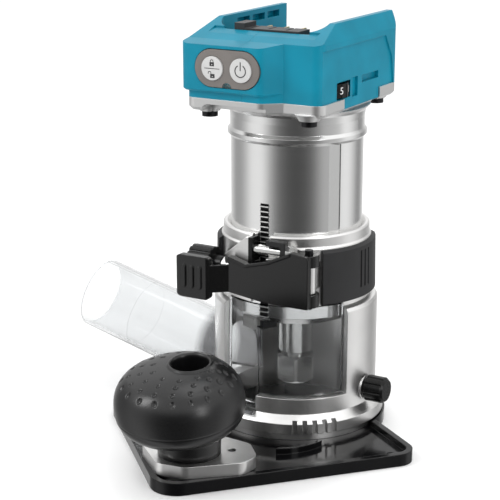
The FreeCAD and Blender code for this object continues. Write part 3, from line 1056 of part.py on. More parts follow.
def make_depth_adjuster():
    shaft = rod("pinion_rod", "pinion_shaft_dia", "10.5 - depth_knob_x", ("depth_knob_x + 1", PINION_Y,
                                                          "pinion_z"), "x")
    profile = []
    tip = f"({PITCH_RADIUS} + tooth_tall / 2 - 0.12)"
    root = f"({PITCH_RADIUS} - tooth_tall / 2 - 0.15)"
    for k in range(8):
        for reach, lean in ((root, -11), (tip, -5), (tip, 5), (root, 11)):
            angle = f"(({k} * 45 + {lean}) * 1 deg)"
            profile.append((f"{PINION_Y} + {reach} * cos{angle}",
                            f"pinion_z + {reach} * sin{angle}"))
    gear = prism("pinion_gear", profile, "-rack_wide / 2 + 0.15", "rack_wide / 2 - 0.15",
                 "YZ_Plane")
    keep(fuse("pinion_whole", shaft, gear), "pinion_shaft")
    drum = rod("knob_drum", "depth_knob_dia", "depth_knob_long",
               ("depth_knob_x", PINION_Y, "pinion_z"), "x")
    hub = rod("knob_hub", "9", "-20.7 - depth_knob_x", ("depth_knob_x", PINION_Y, "pinion_z"), "x")
    bore = rod("knob_bore", "pinion_shaft_dia", "30", ("depth_knob_x + 1", PINION_Y,
                                                     "pinion_z"), "x")
    flutes = []
    for k in range(14):
        angle = f"({k} * 360 / 14 * 1 deg)"
        flutes.append(rod(f"knob_flute{k}", "1.9", "depth_knob_long + 2",
                          ("depth_knob_x - 1",
                           f"{PINION_Y} + (depth_knob_dia / 2 + 0.35) * cos{angle}",
                           f"pinion_z + (depth_knob_dia / 2 + 0.35) * sin{angle}"), "x"))
    keep(cut("knob_cut", fuse("knob_solid", drum, hub), bore, *flutes), "depth_knob")


def make_guide_screw():
    shank = rod("guide_rod", "guide_shank", "16", ("guide_face - 7.5", "guide_y", "guide_z"), "x")
    head = rod("guide_drum", "guide_head", "guide_head_long - 1.5",
               ("guide_face + 1.2 + 4.2", "guide_y", "guide_z"), "x")
    cap = cone("guide_cap", "guide_head", "guide_head - 2.4", "1.5",
               ("guide_face + guide_head_long + 3.9", "guide_y", "guide_z"), "x")
    flutes = []
    for k in range(10):
        angle = f"({k} * 36 deg)"
        flutes.append(rod(f"guide_flute{k}", "1.7", "guide_head_long + 4",
                          ("guide_face + 4",
                           f"guide_y + (guide_head / 2 + 0.3) * cos{angle}",
                           f"guide_z + (guide_head / 2 + 0.3) * sin{angle}"), "x"))
    keep(cut("guide_cut", fuse("guide_solid", shank, head, cap), *flutes), "guide_screw")


MAKERS = [
    make_motor_barrel, make_motor_rack, make_housing, make_housing_screws, make_switch_panel,
    make_buttons, make_speed_dial, make_battery_terminals, make_motor_inside, make_shaft_lock,
    make_spindle, make_base_casting, make_grip_pads, make_sole, make_sole_screws, make_grip,
    make_clear_parts, make_clamp, make_clamp_lever, make_depth_adjuster, make_guide_screw,
]
for maker in MAKERS:
    maker()
    document.recompute()

for item in document.Objects:
    if "Invalid" in item.State or "Error" in item.State:
        raise RuntimeError(f"{item.Name} failed: {item.State}")
os.makedirs("parts", exist_ok=True)
for sub_part in sub_parts:
    shape = sub_part.Shape
    if shape.isNull() or not shape.isValid() or not shape.Solids:
        raise RuntimeError(f"{sub_part.Label} has no valid solid")
    shape.exportStep(f"parts/{sub_part.Label}.step")
print(len(sub_parts), "sub-parts written")
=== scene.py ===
import json
import math
import bmesh
import bpy
from mathutils import Matrix, Vector


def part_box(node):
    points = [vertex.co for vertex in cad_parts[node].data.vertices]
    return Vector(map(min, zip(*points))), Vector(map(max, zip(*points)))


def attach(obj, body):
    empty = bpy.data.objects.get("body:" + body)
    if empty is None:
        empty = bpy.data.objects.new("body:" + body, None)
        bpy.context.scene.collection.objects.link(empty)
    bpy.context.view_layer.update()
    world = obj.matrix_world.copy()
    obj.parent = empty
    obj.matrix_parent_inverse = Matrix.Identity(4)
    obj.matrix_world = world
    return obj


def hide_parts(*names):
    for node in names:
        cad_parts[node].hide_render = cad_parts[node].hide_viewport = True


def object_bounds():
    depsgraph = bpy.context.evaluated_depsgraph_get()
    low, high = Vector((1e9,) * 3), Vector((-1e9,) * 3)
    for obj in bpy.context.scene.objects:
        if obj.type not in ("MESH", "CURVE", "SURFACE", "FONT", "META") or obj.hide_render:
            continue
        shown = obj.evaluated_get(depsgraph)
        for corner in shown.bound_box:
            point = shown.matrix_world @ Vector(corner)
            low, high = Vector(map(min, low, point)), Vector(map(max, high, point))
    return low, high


MM = 0.001
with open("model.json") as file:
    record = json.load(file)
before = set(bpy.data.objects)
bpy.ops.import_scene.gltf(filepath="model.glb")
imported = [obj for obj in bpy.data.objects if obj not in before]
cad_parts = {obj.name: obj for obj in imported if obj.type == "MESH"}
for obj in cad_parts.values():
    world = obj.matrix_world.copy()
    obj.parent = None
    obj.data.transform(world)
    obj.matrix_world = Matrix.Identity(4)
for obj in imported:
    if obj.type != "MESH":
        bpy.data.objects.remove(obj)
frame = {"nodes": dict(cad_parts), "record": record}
nodes = frame["nodes"]
cad_low, cad_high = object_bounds()

# camera: a long lens in front, a little to the right and above; angles in degrees, metres
CAMERA_AZIMUTH, CAMERA_TURN, CAMERA_PITCH = 28.0, 1.85, 15.9
CAMERA_REACH, CAMERA_HEIGHT = 0.718, 0.292
SENSOR_WIDE, LENS_LONG = 36.0, 107.2
CLIP_NEAR, CLIP_FAR = 0.01, 20.0

# studio: the sky's grey levels once round, the middle of the list facing the front
SKY_LEVELS = ((0.00, 0.92), (0.065, 0.80), (0.135, 0.36), (0.19, 0.40), (0.225, 0.58),
              (0.26, 0.92), (0.32, 0.98), (0.35, 0.72), (0.38, 0.36), (0.41, 0.17),
              (0.455, 0.09), (0.50, 0.07), (0.545, 0.09), (0.58, 0.17), (0.625, 0.46),
              (0.68, 0.55), (0.71, 0.62), (0.74, 1.00), (0.78, 0.95), (0.81, 0.72),
              (0.84, 0.42), (0.865, 0.24), (0.90, 0.42), (0.94, 0.85), (1.00, 0.92))
SKY_FRONT = -62.0
CEILING_FROM, CEILING_FULL = 0.25, 0.60
CEILING_WHITE = (1.2, 1.2, 1.2, 1.0)
WHITE = (1.0, 1.0, 1.0, 1.0)
FLOOR_WIDE, FLOOR_GAP = 30.0, 0.0002
FLOOR_WHITE, FLOOR_ROUGH = (0.96, 0.96, 0.96), 0.7
LIGHT_AIM = (0.0, -0.02, 0.10)
SOFT_BOXES = (  # name, place, width and height, watts
    ("key", (-0.9, -0.9, 1.1), (0.35, 0.6), 7.0),
    ("fill", (1.1, -0.5, 0.5), (0.25, 0.7), 3.0),
    ("top", (0.1, 0.2, 1.4), (0.9, 0.7), 3.0),
)

# finishes
PER_MM = 1000.0
BARREL_GREY = (0.80, 0.80, 0.795)
CAST_BAND, CAST_BLEND, CAST_ROUGH = 0.0085, 0.001, 0.42
# the nozzle's tint turns from TUBE_TINT to the dark grey PLATE_TINT between PLATE_FROM and
# PLATE_FULL along x, towards its mounting plate
TUBE_TINT, PLATE_TINT, GUARD_TINT = (0.82, 0.83, 0.835), (0.16, 0.16, 0.165), (0.74, 0.75, 0.755)
PLATE_FROM, PLATE_FULL = -0.050, -0.044
RACK_PITCH, RACK_GAP_SHARE = 0.0025, 0.62
RACK_DARK, RACK_BRIGHT = (0.012, 0.012, 0.012), (0.75, 0.75, 0.74)
DULL = {"Specular_IOR_Level": 0.25}
SATIN = {"Specular_IOR_Level": 0.22}

# printed icons, millimetres
INK_DEEP, INK_PROUD = 0.12, 0.07
DIVIDER, DIVIDER_WIDE = [(-4.0, -0.1), (4.0, -0.1)], 0.28
PADLOCKS = (((0.0, 1.75), False), ((0.3, -3.7), True))
LOCK_HALF, LOCK_FOOT, LOCK_LINE = 1.15, 0.75, 0.5
LOCK_ROWS, KEYHOLE_ROW, KEYHOLE_HALF = (0.25, 0.7, 1.15, 1.6), 0.7, 0.35
HOOP_RADIUS, HOOP_RISE, HOOP_SHIFT, HOOP_LEG, HOOP_LINE = 0.72, 1.5, 1.5, 0.4, 0.3
POWER_LINE, POWER_CENTRE, POWER_RADIUS = 0.48, (0, -0.25), 2.75
POWER_START, POWER_END = 118, 422
POWER_BAR = [(0, -0.1), (0, 3.9)]

# dial digits, metres and degrees
DIGIT_COUNT, DIGIT_SHOWN = 6, 5
DIGIT_TALL, DIGIT_DEEP, DIGIT_PROUD = 0.0046, 0.00008, 0.00003
DIGIT_REST, DIGIT_STEP = -20.0, 45.0

# rubber ball grip, millimetres: the same ball, neck and well as the CAD solid it stands for
BALL = {"at": (-7.6, -98.0, 38.0), "radius": 30.25, "over": 19.5, "under": 16.0, "power": 0.8,
        "tilt": 7.0}
BALL_COLUMNS, BALL_STEPS = 440, 260
SEAM = {"height": -3.4, "deep": 0.22, "wide": 0.35}
NECK = {"at": (-6.5, -92.0), "radius": 14.75, "low": 12.0, "flare": 1.6, "overlap": 2.4}
NECK_LEVELS, NECK_FLARE_SHARE = (0.25, 0.5, 0.75, 1.0), 0.6
WELL = {"top": (-2.9, -96.3), "foot": (-6.3, -93.0), "radius": 8.5, "floor": 33.1, "taper": 0.9}
WELL_RIM = ((-6.0, 0.0), (-2.0, 0.0), (-0.7, 0.1), (0.05, 0.45), (0.35, 1.0), (0.25, 1.6))
WELL_SPREAD, WELL_SKIP = 13.0, 0.1
PIT = {"rings": ((14.6, 11), (18.4, 14), (22.3, 17), (25.8, 20)), "radius": 1.15, "deep": 0.75,
       "round": 0.6, "inward": 0.35}


# ---------------------------------------------------------------- camera and light

def make_camera():
    """Turned so that the tool stands right of the middle of the frame."""
    azimuth, pitch = math.radians(CAMERA_AZIMUTH), math.radians(CAMERA_PITCH)
    heading = azimuth + math.radians(CAMERA_TURN)
    data = bpy.data.cameras.new("camera")
    data.sensor_width = SENSOR_WIDE
    data.lens = LENS_LONG
    data.clip_start, data.clip_end = CLIP_NEAR, CLIP_FAR
    camera = bpy.data.objects.new("camera", data)
    bpy.context.scene.collection.objects.link(camera)
    camera.location = (CAMERA_REACH * math.sin(azimuth), -CAMERA_REACH * math.cos(azimuth),
                       CAMERA_HEIGHT)
    ahead = Vector((-math.sin(heading) * math.cos(pitch), math.cos(heading) * math.cos(pitch),
                    -math.sin(pitch)))
    camera.rotation_mode = "QUATERNION"
    camera.rotation_quaternion = ahead.to_track_quat("-Z", "Y")
    bpy.context.scene.camera = camera


def area_light(name, place, size, power):
    data = bpy.data.lights.new(name, "AREA")
    data.shape = "RECTANGLE"
    data.size, data.size_y = size
    data.energy = power
    lamp = bpy.data.objects.new(name, data)
    bpy.context.scene.collection.objects.link(lamp)
    lamp.location = place
    lamp.rotation_mode = "QUATERNION"
    lamp.rotation_quaternion = (Vector(LIGHT_AIM) - Vector(place)).to_track_quat("-Z", "Y")


def make_sky():
    """Upright soft boxes and dark flags all round for the metal to mirror, under a white ceiling."""
    world = bpy.data.worlds.new("studio")
    bpy.context.scene.world = world
    world.use_nodes = True
    tree = world.node_tree

    def add(kind, *numbers, **settings):
        node = tree.nodes.new(kind)
        for name, setting in settings.items():
            setattr(node, name, setting)
        for socket, number in numbers:
            node.inputs[socket].default_value = number
        return node

    def wire(source, target):
        tree.links.new(source, target)

    sky = tree.nodes["Background"]
    sky.inputs["Strength"].default_value = 1.0
    split = add("ShaderNodeSeparateXYZ")
    wire(add("ShaderNodeTexCoord").outputs["Generated"], split.inputs["Vector"])
    angle = add("ShaderNodeMath", operation="ARCTAN2")
    wire(split.outputs["Y"], angle.inputs[0])
    wire(split.outputs["X"], angle.inputs[1])
    share = add("ShaderNodeMath", (1, 1.0 / (2.0 * math.pi)), operation="MULTIPLY")
    wire(angle.outputs[0], share.inputs[0])
    turned = add("ShaderNodeMath", (1, 0.5 - SKY_FRONT / 360.0), operation="ADD")
    wire(share.outputs[0], turned.inputs[0])
    once_round = add("ShaderNodeMath", operation="FRACT")
    wire(turned.outputs[0], once_round.inputs[0])
    bands = add("ShaderNodeValToRGB")
    stops = bands.color_ramp.elements
    for position, level in SKY_LEVELS:
        ends = {0.0: stops[0], 1.0: stops[-1]}
        stop = ends[position] if position in ends else stops.new(position)
        stop.color = (level, level, level, 1.0)
    wire(once_round.outputs[0], bands.inputs["Fac"])
    height = add("ShaderNodeMapRange", ("From Min", CEILING_FROM), ("From Max", CEILING_FULL))
    wire(split.outputs["Z"], height.inputs["Value"])
    ceiling = add("ShaderNodeMix", data_type="RGBA")
    low_colour, high_colour, mixed = ceiling.inputs[6], ceiling.inputs[7], ceiling.outputs[2]
    high_colour.default_value = CEILING_WHITE
    wire(height.outputs["Result"], ceiling.inputs["Factor"])
    wire(bands.outputs["Color"], low_colour)
    wire(mixed, sky.inputs["Color"])
    backdrop = add("ShaderNodeBackground", ("Color", WHITE), ("Strength", 1.0))
    chosen = add("ShaderNodeMixShader")
    wire(add("ShaderNodeLightPath").outputs["Is Camera Ray"], chosen.inputs[0])
    wire(sky.outputs[0], chosen.inputs[1])
    wire(backdrop.outputs[0], chosen.inputs[2])
    wire(chosen.outputs[0], tree.nodes["World Output"].inputs["Surface"])


def make_studio():
    """A white floor that gloss doesn't mirror, the sky, and the soft boxes."""
    bpy.ops.mesh.primitive_plane_add(size=FLOOR_WIDE, location=(0, 0, cad_low.z - FLOOR_GAP))
    floor = bpy.context.object
    floor.name = "studio_floor"
    floor.data.materials.append(plain("floor_white", FLOOR_WHITE, FLOOR_ROUGH))
    floor.visible_glossy = False
    make_sky()
    for box in SOFT_BOXES:
        area_light(*box)
    bpy.context.scene.view_settings.view_transform = "Standard"


# ---------------------------------------------------------------- materials

def plain(name, colour, roughness):
    material = bpy.data.materials.new(name)
    material.use_nodes = True
    shader = material.node_tree.nodes["Principled BSDF"]
    shader.inputs["Base Color"].default_value = (*colour, 1.0)
    shader.inputs["Roughness"].default_value = roughness
    return material


def dimmed(colour, share):
    return [channel * share for channel in colour]


class Surface:
    """A material under construction: one shader with textures wired to its sockets."""

    def __init__(self, name, colour, roughness, metallic=0.0, **more):
        self.material = plain(name, colour, roughness)
        self.tree = self.material.node_tree
        self.shader = self.tree.nodes["Principled BSDF"]
        self.shader.inputs["Metallic"].default_value = metallic
        for socket, number in more.items():
            self.shader.inputs[socket.replace("_", " ")].default_value = number
        self.height = None
        self.place = self.add("ShaderNodeTexCoord").outputs["Object"]

    def add(self, kind, **settings):
        node = self.tree.nodes.new(kind)
        for name, setting in settings.items():
            setattr(node, name, setting)
        return node

    def wire(self, source, target):
        self.tree.links.new(source, target)

    def stretched(self, scale):
        mapping = self.add("ShaderNodeMapping")
        mapping.inputs["Scale"].default_value = scale
        self.wire(self.place, mapping.inputs["Vector"])
        return mapping.outputs["Vector"]

    def along(self, axis):
        """The place along one axis, in metres."""
        split = self.add("ShaderNodeSeparateXYZ")
        self.wire(self.place, split.inputs["Vector"])
        return split.outputs[axis]

    def noise(self, scale, detail=3.0, stretch=(1, 1, 1)):
        """Noise with about one blob per millimetre at scale 1."""
        texture = self.add("ShaderNodeTexNoise")
        texture.inputs["Scale"].default_value = 1.0
        texture.inputs["Detail"].default_value = detail
        self.wire(self.stretched([PER_MM * scale * s for s in stretch]),
                  texture.inputs["Vector"])
        return texture.outputs["Fac"]

    def cells(self, scale):
        texture = self.add("ShaderNodeTexVoronoi")
        texture.inputs["Scale"].default_value = 1.0
        self.wire(self.stretched([PER_MM * scale] * 3), texture.inputs["Vector"])
        return texture.outputs["Distance"]

    def span(self, value, low, high, start=0.0, end=1.0):
        ranged = self.add("ShaderNodeMapRange")
        for socket, number in zip(("From Min", "From Max", "To Min", "To Max"),
                                  (start, end, low, high)):
            ranged.inputs[socket].default_value = number
        self.wire(value, ranged.inputs["Value"])
        return ranged.outputs["Result"]

    def vary_roughness(self, value, low, high, start=0.3, end=0.7):
        self.wire(self.span(value, low, high, start, end), self.shader.inputs["Roughness"])

    def vary_colour(self, value, low, high, start=0.3, end=0.7):
        ramp = self.add("ShaderNodeValToRGB")
        ramp.color_ramp.elements[0].position = start
        ramp.color_ramp.elements[1].position = end
        ramp.color_ramp.elements[0].color = (*low, 1.0)
        ramp.color_ramp.elements[1].color = (*high, 1.0)
        self.wire(value, ramp.inputs["Fac"])
        self.wire(ramp.outputs["Color"], self.shader.inputs["Base Color"])
        return ramp

    def bump(self, value, depth, strength=1.0):
        """Adds relief; depth is the height in metres between the lowest and highest value."""
        relief = self.add("ShaderNodeBump")
        relief.inputs["Distance"].default_value = depth
        relief.inputs["Strength"].default_value = strength
        self.wire(value, relief.inputs["Height"])
        if self.height is not None:
            self.wire(self.height, relief.inputs["Normal"])
        self.height = relief.outputs["Normal"]
        self.wire(self.height, self.shader.inputs["Normal"])

    def soft_edges(self, radius):
        edge = self.add("ShaderNodeBevel", samples=6)
        edge.inputs["Radius"].default_value = radius
        self.height = edge.outputs["Normal"]
        self.wire(self.height, self.shader.inputs["Normal"])


def moulded(name, colour, roughness, grain=0.000012, edge=0.0003, light=1.12, **more):
    """A moulded plastic or rubber skin with fine grain, slight colour drift and soft edges."""
    skin = Surface(name, colour, roughness, **more)
    skin.soft_edges(edge)
    fine = skin.noise(3.0)
    broad = skin.noise(0.06, detail=2.0)
    skin.vary_colour(broad, dimmed(colour, 0.93), [min(1.0, c * light) for c in colour])
    skin.vary_roughness(fine, roughness * 0.9, min(1.0, roughness * 1.12))
    skin.bump(fine, grain)
    return skin


def ground_metal(name, colour, roughness, stretch):
    """Metal with fine tool marks along one direction."""
    skin = Surface(name, colour, roughness, metallic=1.0)
    skin.soft_edges(0.00025)
    marks = skin.noise(1.0, detail=4.0, stretch=stretch)
    skin.vary_roughness(marks, roughness * 0.8, roughness * 1.25)
    skin.vary_colour(skin.noise(0.05, detail=2.0), dimmed(colour, 0.95), colour)
    skin.bump(marks, depth=0.000004)
    return skin


def cast_metal(name, colour, roughness):
    """Pale die casting with a blasted grain."""
    skin = Surface(name, colour, roughness, metallic=1.0)
    skin.soft_edges(0.0005)
    grain = skin.noise(1.8, detail=4.0)
    skin.vary_roughness(grain, roughness * 0.85, roughness * 1.2)
    skin.vary_colour(skin.noise(0.08), dimmed(colour, 0.93), colour)
    skin.bump(grain, depth=0.000035, strength=0.6)
    return skin


def barrel_metal():
    """Turned and polished on the barrel, coarser on the cast flange above it."""
    skin = Surface("barrel_turned", BARREL_GREY, 0.2, metallic=1.0, Anisotropic=0.45)
    skin.soft_edges(0.0003)
    lines = skin.noise(1.0, detail=5.0, stretch=(0.02, 0.02, 14.0))
    flange_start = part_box("motor_barrel")[1].z - CAST_BAND
    is_cast = skin.span(skin.along("Z"), 0.0, 1.0, flange_start, flange_start + CAST_BLEND)
    mix = skin.add("ShaderNodeMix", data_type="FLOAT")
    skin.wire(is_cast, mix.inputs["Factor"])
    skin.wire(skin.span(lines, 0.16, 0.27, 0.3, 0.7), mix.inputs["A"])
    mix.inputs["B"].default_value = CAST_ROUGH
    skin.wire(mix.outputs["Result"], skin.shader.inputs["Roughness"])
    tangent = skin.add("ShaderNodeTangent", direction_type="RADIAL", axis="Z")
    skin.wire(tangent.outputs["Tangent"], skin.shader.inputs["Tangent"])
    skin.bump(lines, depth=0.0000025)
    return skin


def clear_plastic(name, tint):
    """Clear moulded plastic with faint smears."""
    skin = Surface(name, tint, 0.03, IOR=1.49)
    skin.shader.inputs["Transmission Weight"].default_value = 1.0
    smear = skin.noise(0.05, stretch=(1.0, 1.0, 0.3))
    skin.vary_roughness(smear, 0.02, 0.07)
    skin.bump(smear, depth=0.00003, strength=0.3)
    return skin


def nozzle_plastic():
    """Clear tube whose tint turns dark grey towards its mounting plate."""
    skin = clear_plastic("nozzle_clear", TUBE_TINT)
    near_plate = skin.span(skin.along("X"), 0.0, 1.0, PLATE_FROM, PLATE_FULL)
    skin.vary_colour(near_plate, TUBE_TINT, PLATE_TINT, 0.0, 1.0)
    return skin


def rack_metal():
    """Blackened strip whose tooth crests are rubbed bright."""
    skin = Surface("rack_black", (0.02, 0.02, 0.02), 0.35, metallic=0.8)
    teeth = skin.add("ShaderNodeMath", operation="DIVIDE")
    teeth.inputs[1].default_value = RACK_PITCH
    skin.wire(skin.along("Z"), teeth.inputs[0])
    share = skin.add("ShaderNodeMath", operation="FRACT")
    skin.wire(teeth.outputs[0], share.inputs[0])
    ramp = skin.vary_colour(share.outputs[0], RACK_DARK, RACK_BRIGHT, 0.0, RACK_GAP_SHARE)
    ramp.color_ramp.interpolation = "CONSTANT"
    return skin


def glossy_black():
    """The sole's polished black, with slow ripples."""
    skin = Surface("sole_black", (0.003, 0.003, 0.0033), 0.12, **DULL)
    skin.soft_edges(0.0006)
    skin.vary_roughness(skin.noise(0.15, detail=4.0), 0.08, 0.17)
    skin.vary_colour(skin.noise(0.04, detail=2.0), (0.002, 0.002, 0.0024),
                     (0.004, 0.004, 0.0044))
    skin.bump(skin.noise(0.12, detail=2.0), depth=0.00002, strength=0.4)
    return skin


def circuit():
    """Green board with small raised cells."""
    skin = Surface("board_green", (0.02, 0.13, 0.06), 0.4)
    skin.vary_colour(skin.cells(0.35), (0.01, 0.09, 0.04), (0.03, 0.20, 0.09), 0.2, 0.6)
    skin.bump(skin.cells(0.35), depth=0.0001)
    return skin


MATERIALS = {
    "barrel_aluminium": barrel_metal(),
    "cast_aluminium": cast_metal("cast_pale", (0.86, 0.855, 0.845), 0.34),
    "teal_plastic": moulded("teal_moulded", (0.0, 0.205, 0.305), 0.33, grain=0.00001,
                            edge=0.0006, **SATIN),
    "grey_plastic": moulded("panel_grey", (0.165, 0.150, 0.140), 0.42, grain=0.000008),
    "dark_grey_plastic": moulded("dark_grey_moulded", (0.024, 0.024, 0.025), 0.45),
    "light_grey_plastic": moulded("light_grey_moulded", (0.52, 0.52, 0.50), 0.45),
    "white_key": moulded("key_white", (0.56, 0.56, 0.555), 0.45, grain=0.000006, edge=0.0005,
                         light=1.04),
    "black_plastic": moulded("black_moulded", (0.005, 0.005, 0.005), 0.28, grain=0.000008,
                             **DULL),
    "lever_plastic": moulded("lever_black", (0.003, 0.003, 0.003), 0.20, grain=0.000008,
                             edge=0.0007),
    "sole_plastic": glossy_black(),
    "pad_rubber": moulded("pad_black", (0.022, 0.022, 0.023), 0.50, grain=0.00002, edge=0.0006,
                          **DULL),
    "knob_rubber": moulded("ball_black", (0.005, 0.005, 0.0053), 0.30),
    "clear_plastic": clear_plastic("clear_moulded", (0.89, 0.90, 0.905)),
    "lamp_lens": clear_plastic("lens_clear", (0.95, 0.94, 0.88)),
    "black_steel": ground_metal("black_oxide", (0.035, 0.035, 0.037), 0.35, (1, 1, 1)),
    "bearing_steel": ground_metal("ground_steel", (0.62, 0.62, 0.61), 0.22, (0.3, 0.3, 5.0)),
    "stator_steel": ground_metal("laminated_steel", (0.20, 0.19, 0.18), 0.45, (0.1, 0.1, 3.0)),
    "terminal_brass": ground_metal("stamped_brass", (0.80, 0.62, 0.30), 0.28, (1, 1, 1)),
    "circuit_board": circuit(),
}
OWN_FINISH = {
    "chip_deflector": clear_plastic("guard_clear", GUARD_TINT),
    "dust_nozzle": nozzle_plastic(),
    "motor_rack": rack_metal(),
}
INK = moulded("printed_ink", (0.028, 0.028, 0.030), 0.45, grain=0.000004, edge=0.00005)
DIGIT_WHITE = moulded("digit_white", (0.80, 0.80, 0.80), 0.5, grain=0.000004, edge=0.00003)


def dress_cad_nodes():
    slots = {entry["node"]: entry["material_slot"] for entry in frame["record"]["subparts"]}
    for name, thing in nodes.items():
        skin = OWN_FINISH.get(name, MATERIALS[slots[name]])
        thing.data.materials.clear()
        thing.data.materials.append(skin.material)


# ---------------------------------------------------------------- own pieces

def add_piece(name, mesh, skin, body, smooth=False):
    piece = bpy.data.objects.new(name, mesh)
    bpy.context.scene.collection.objects.link(piece)
    mesh.materials.append(skin.material)
    for face in mesh.polygons:
        face.use_smooth = smooth
    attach(piece, body)
    return piece


def mesh_from(shape, name):
    """The finished mesh of a bmesh, its faces turned outwards."""
    bmesh.ops.recalc_face_normals(shape, faces=shape.faces)
    mesh = bpy.data.meshes.new(name)
    shape.to_mesh(mesh)
    shape.free()
    return mesh


def arc_path(centre, radius, start, end, steps):
    """Points on an arc in millimetres, angles in degrees from +X."""
    return [(centre[0] + radius * math.cos(math.radians(start + (end - start) * k / steps)),
             centre[1] + radius * math.sin(math.radians(start + (end - start) * k / steps)))
            for k in range(steps + 1)]


def add_stroke(shape, path, wide, deep):
    """A printed line of one width along a path in the XZ plane, closed all round."""
    rows = []
    for index, (x, z) in enumerate(path):
        before = path[max(index - 1, 0)]
        after = path[min(index + 1, len(path) - 1)]
        along = Vector((after[0] - before[0], after[1] - before[1])).normalized()
        side = Vector((-along.y, along.x)) * wide / 2
        rows.append([shape.verts.new((MM * (x + s * side.x), MM * y, MM * (z + s * side.y)))
                     for s, y in ((1, 0), (-1, 0), (-1, deep), (1, deep))])
    for one, two in zip(rows, rows[1:]):
        for k in range(4):
            shape.faces.new((one[k], one[(k + 1) % 4], two[(k + 1) % 4], two[k]))
    shape.faces.new(rows[0][::-1])
    shape.faces.new(rows[-1])


def printed_icon(name, key, strokes, body):
    """Printed lines on a round key's face, a hair proud of it."""
    low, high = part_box(key)
    middle = (low + high) / 2
    shape = bmesh.new()
    for path, wide in strokes:
        add_stroke(shape, path, wide, INK_DEEP)
    shape.transform(Matrix.Translation((middle.x, low.y - MM * INK_PROUD, middle.z)))
    add_piece(name, mesh_from(shape, name), INK, body)


def lock_strokes():
    """A closed padlock over a dividing line over an open one."""
    strokes = [(DIVIDER, DIVIDER_WIDE)]
    for (x, z), opened in PADLOCKS:
        for row in LOCK_ROWS:
            gap = KEYHOLE_HALF if row == KEYHOLE_ROW else 0.0
            level = z - LOCK_FOOT + row
            strokes.append(([(x - LOCK_HALF, level), (x - gap, level)], LOCK_LINE))
            strokes.append(([(x + gap, level), (x + LOCK_HALF, level)], LOCK_LINE))
        hoop = (x - HOOP_SHIFT if opened else x, z + HOOP_RISE)
        path = [(hoop[0] + HOOP_RADIUS, hoop[1] - HOOP_LEG)]
        path += arc_path(hoop, HOOP_RADIUS, 0, 180, 12)
        path.append((hoop[0] - HOOP_RADIUS, hoop[1] - HOOP_LEG))
        strokes.append((path, HOOP_LINE))
    return strokes


def power_strokes():
    """The usual on-off sign: a ring open at its top, with a bar through the gap."""
    ring = arc_path(POWER_CENTRE, POWER_RADIUS, POWER_START, POWER_END, 40)
    return [(ring, POWER_LINE), (POWER_BAR, POWER_LINE)]


def dial_numbers():
    """Small white digits round the rim of the thumb wheel."""
    low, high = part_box("speed_dial")
    centre = (low + high) / 2
    radius = (high.y - low.y) / 2 + DIGIT_PROUD
    for digit in range(1, DIGIT_COUNT + 1):
        text = bpy.data.curves.new("digit", "FONT")
        text.body = str(digit)
        text.size = DIGIT_TALL
        text.extrude = DIGIT_DEEP
        text.align_x = "CENTER"
        text.align_y = "CENTER"
        source = bpy.data.objects.new("digit", text)
        mesh = bpy.data.meshes.new_from_object(source)
        bpy.data.objects.remove(source)
        azimuth = math.radians(DIGIT_REST + DIGIT_STEP * (digit - DIGIT_SHOWN))
        for vertex in mesh.vertices:
            x, z, out = vertex.co
            turn = azimuth + x / radius
            vertex.co = (centre.x + (radius + out) * math.cos(turn),
                         centre.y + (radius + out) * math.sin(turn), centre.z + z)
        add_piece(f"dial_digit_{digit}", mesh, DIGIT_WHITE, "dial")


def ball_profile():
    """Half outline of the ball from its top to its foot: (radius, height) pairs."""
    rows = []
    for step in range(BALL_STEPS + 1):
        angle = math.pi / 2 - math.pi * step / BALL_STEPS
        rise = math.copysign(abs(math.sin(angle)) ** BALL["power"], angle)
        reach = BALL["radius"] * abs(math.cos(angle)) ** BALL["power"]
        height = rise * (BALL["over"] if rise > 0 else BALL["under"])
        seam = SEAM["deep"] * math.exp(-((height - SEAM["height"]) / SEAM["wide"]) ** 2)
        rows.append((reach - seam, height))
    return rows


def round_row(x, y, level, reach, turns):
    """A level circle of points."""
    return [Vector((x + reach * math.cos(t), y + reach * math.sin(t), level)) for t in turns]


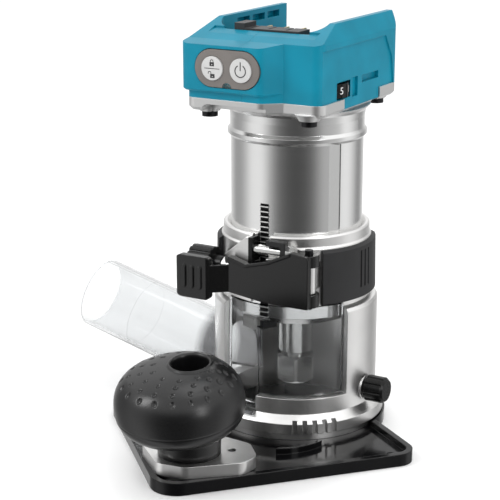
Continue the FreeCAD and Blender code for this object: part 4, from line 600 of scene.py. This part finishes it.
def ball_rows(turns):
    """Rows of points from the well's floor, over its rim and the ball, to the neck's foot."""
    tilt = Matrix.Rotation(math.radians(BALL["tilt"]), 3, "X")
    centre = Vector(BALL["at"])
    mouth = tilt.inverted() @ (Vector((*WELL["top"], centre.z + BALL["over"])) - centre)
    lean = Vector((mouth.x, mouth.y))
    pits = []
    for ring, (reach, count) in enumerate(PIT["rings"]):
        carried = lean * max(0.0, 1 - (reach - WELL["radius"]) / WELL_SPREAD)
        for k in range(count):
            turn = 2 * math.pi * (k + 0.5 * (ring % 2)) / count
            pits.append(Vector((reach * math.cos(turn), reach * math.sin(turn))) + carried)

    def skin_point(reach, turn, height, shift):
        """A point on the ball's skin, sunk where a pit is."""
        spot = Vector((reach * math.cos(turn), reach * math.sin(turn))) + shift
        sunk = 0.0
        if height > 0:
            near = min((spot - pit).length for pit in pits)
            if near < PIT["radius"]:
                sunk = PIT["deep"] * (1 - (near / PIT["radius"]) ** 2) ** PIT["round"]
        scale = 1 - PIT["inward"] * sunk / max(reach, 1.0)
        return tilt @ Vector((spot.x * scale, spot.y * scale, height - sunk)) + centre

    foot = Vector((*WELL["foot"], WELL["floor"]))
    rows = [[foot + point
             for point in round_row(0, 0, 0, WELL["radius"] * WELL["taper"], turns)]]
    for depth, inset in WELL_RIM:
        level, reach = BALL["over"] + depth, WELL["radius"] + inset
        rows.append([tilt @ point + centre
                     for point in round_row(mouth.x, mouth.y, level, reach, turns)])
    edge = WELL["radius"] + WELL_RIM[-1][1]
    for reach, height in ball_profile():
        if height > 0 and reach > edge + WELL_SKIP:
            shift = lean * (1 - min(1.0, max(0.0, (reach - edge) / WELL_SPREAD)))
            rows.append([skin_point(reach, t, height, shift) for t in turns])
        elif height <= 0 and reach > NECK["radius"] + NECK["flare"]:
            rows.append([skin_point(reach, t, height, Vector((0, 0))) for t in turns])
    neck_top = centre.z - BALL["under"] + NECK["overlap"]
    for share in NECK_LEVELS:
        level = neck_top + (NECK["low"] - neck_top) * share
        reach = NECK["radius"] + NECK["flare"] * (1 - share) ** 2 * NECK_FLARE_SHARE
        rows.append(round_row(*NECK["at"], level, reach, turns))
    return rows


def grip_ball():
    """The ball with its pits, seam, rimmed well and flared neck, as one closed skin."""
    turns = [2 * math.pi * k / BALL_COLUMNS for k in range(BALL_COLUMNS)]
    shape = bmesh.new()
    grid = [[shape.verts.new(point * MM) for point in row] for row in ball_rows(turns)]
    for one, two in zip(grid, grid[1:]):
        for k in range(BALL_COLUMNS):
            n = (k + 1) % BALL_COLUMNS
            shape.faces.new((one[k], two[k], two[n], one[n]))
    shape.faces.new(grid[0])
    shape.faces.new(grid[-1][::-1])
    ball = add_piece("grip_ball", mesh_from(shape, "grip_ball"), MATERIALS["knob_rubber"], "base",
                     smooth=True)
    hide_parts("grip_knob")


# ---------------------------------------------------------------- the making

dress_cad_nodes()
make_camera()
make_studio()
printed_icon("lock_icon", "lock_button", lock_strokes(), "lock_key")
printed_icon("power_icon", "power_button", power_strokes(), "power_key")
dial_numbers()
grip_ball()
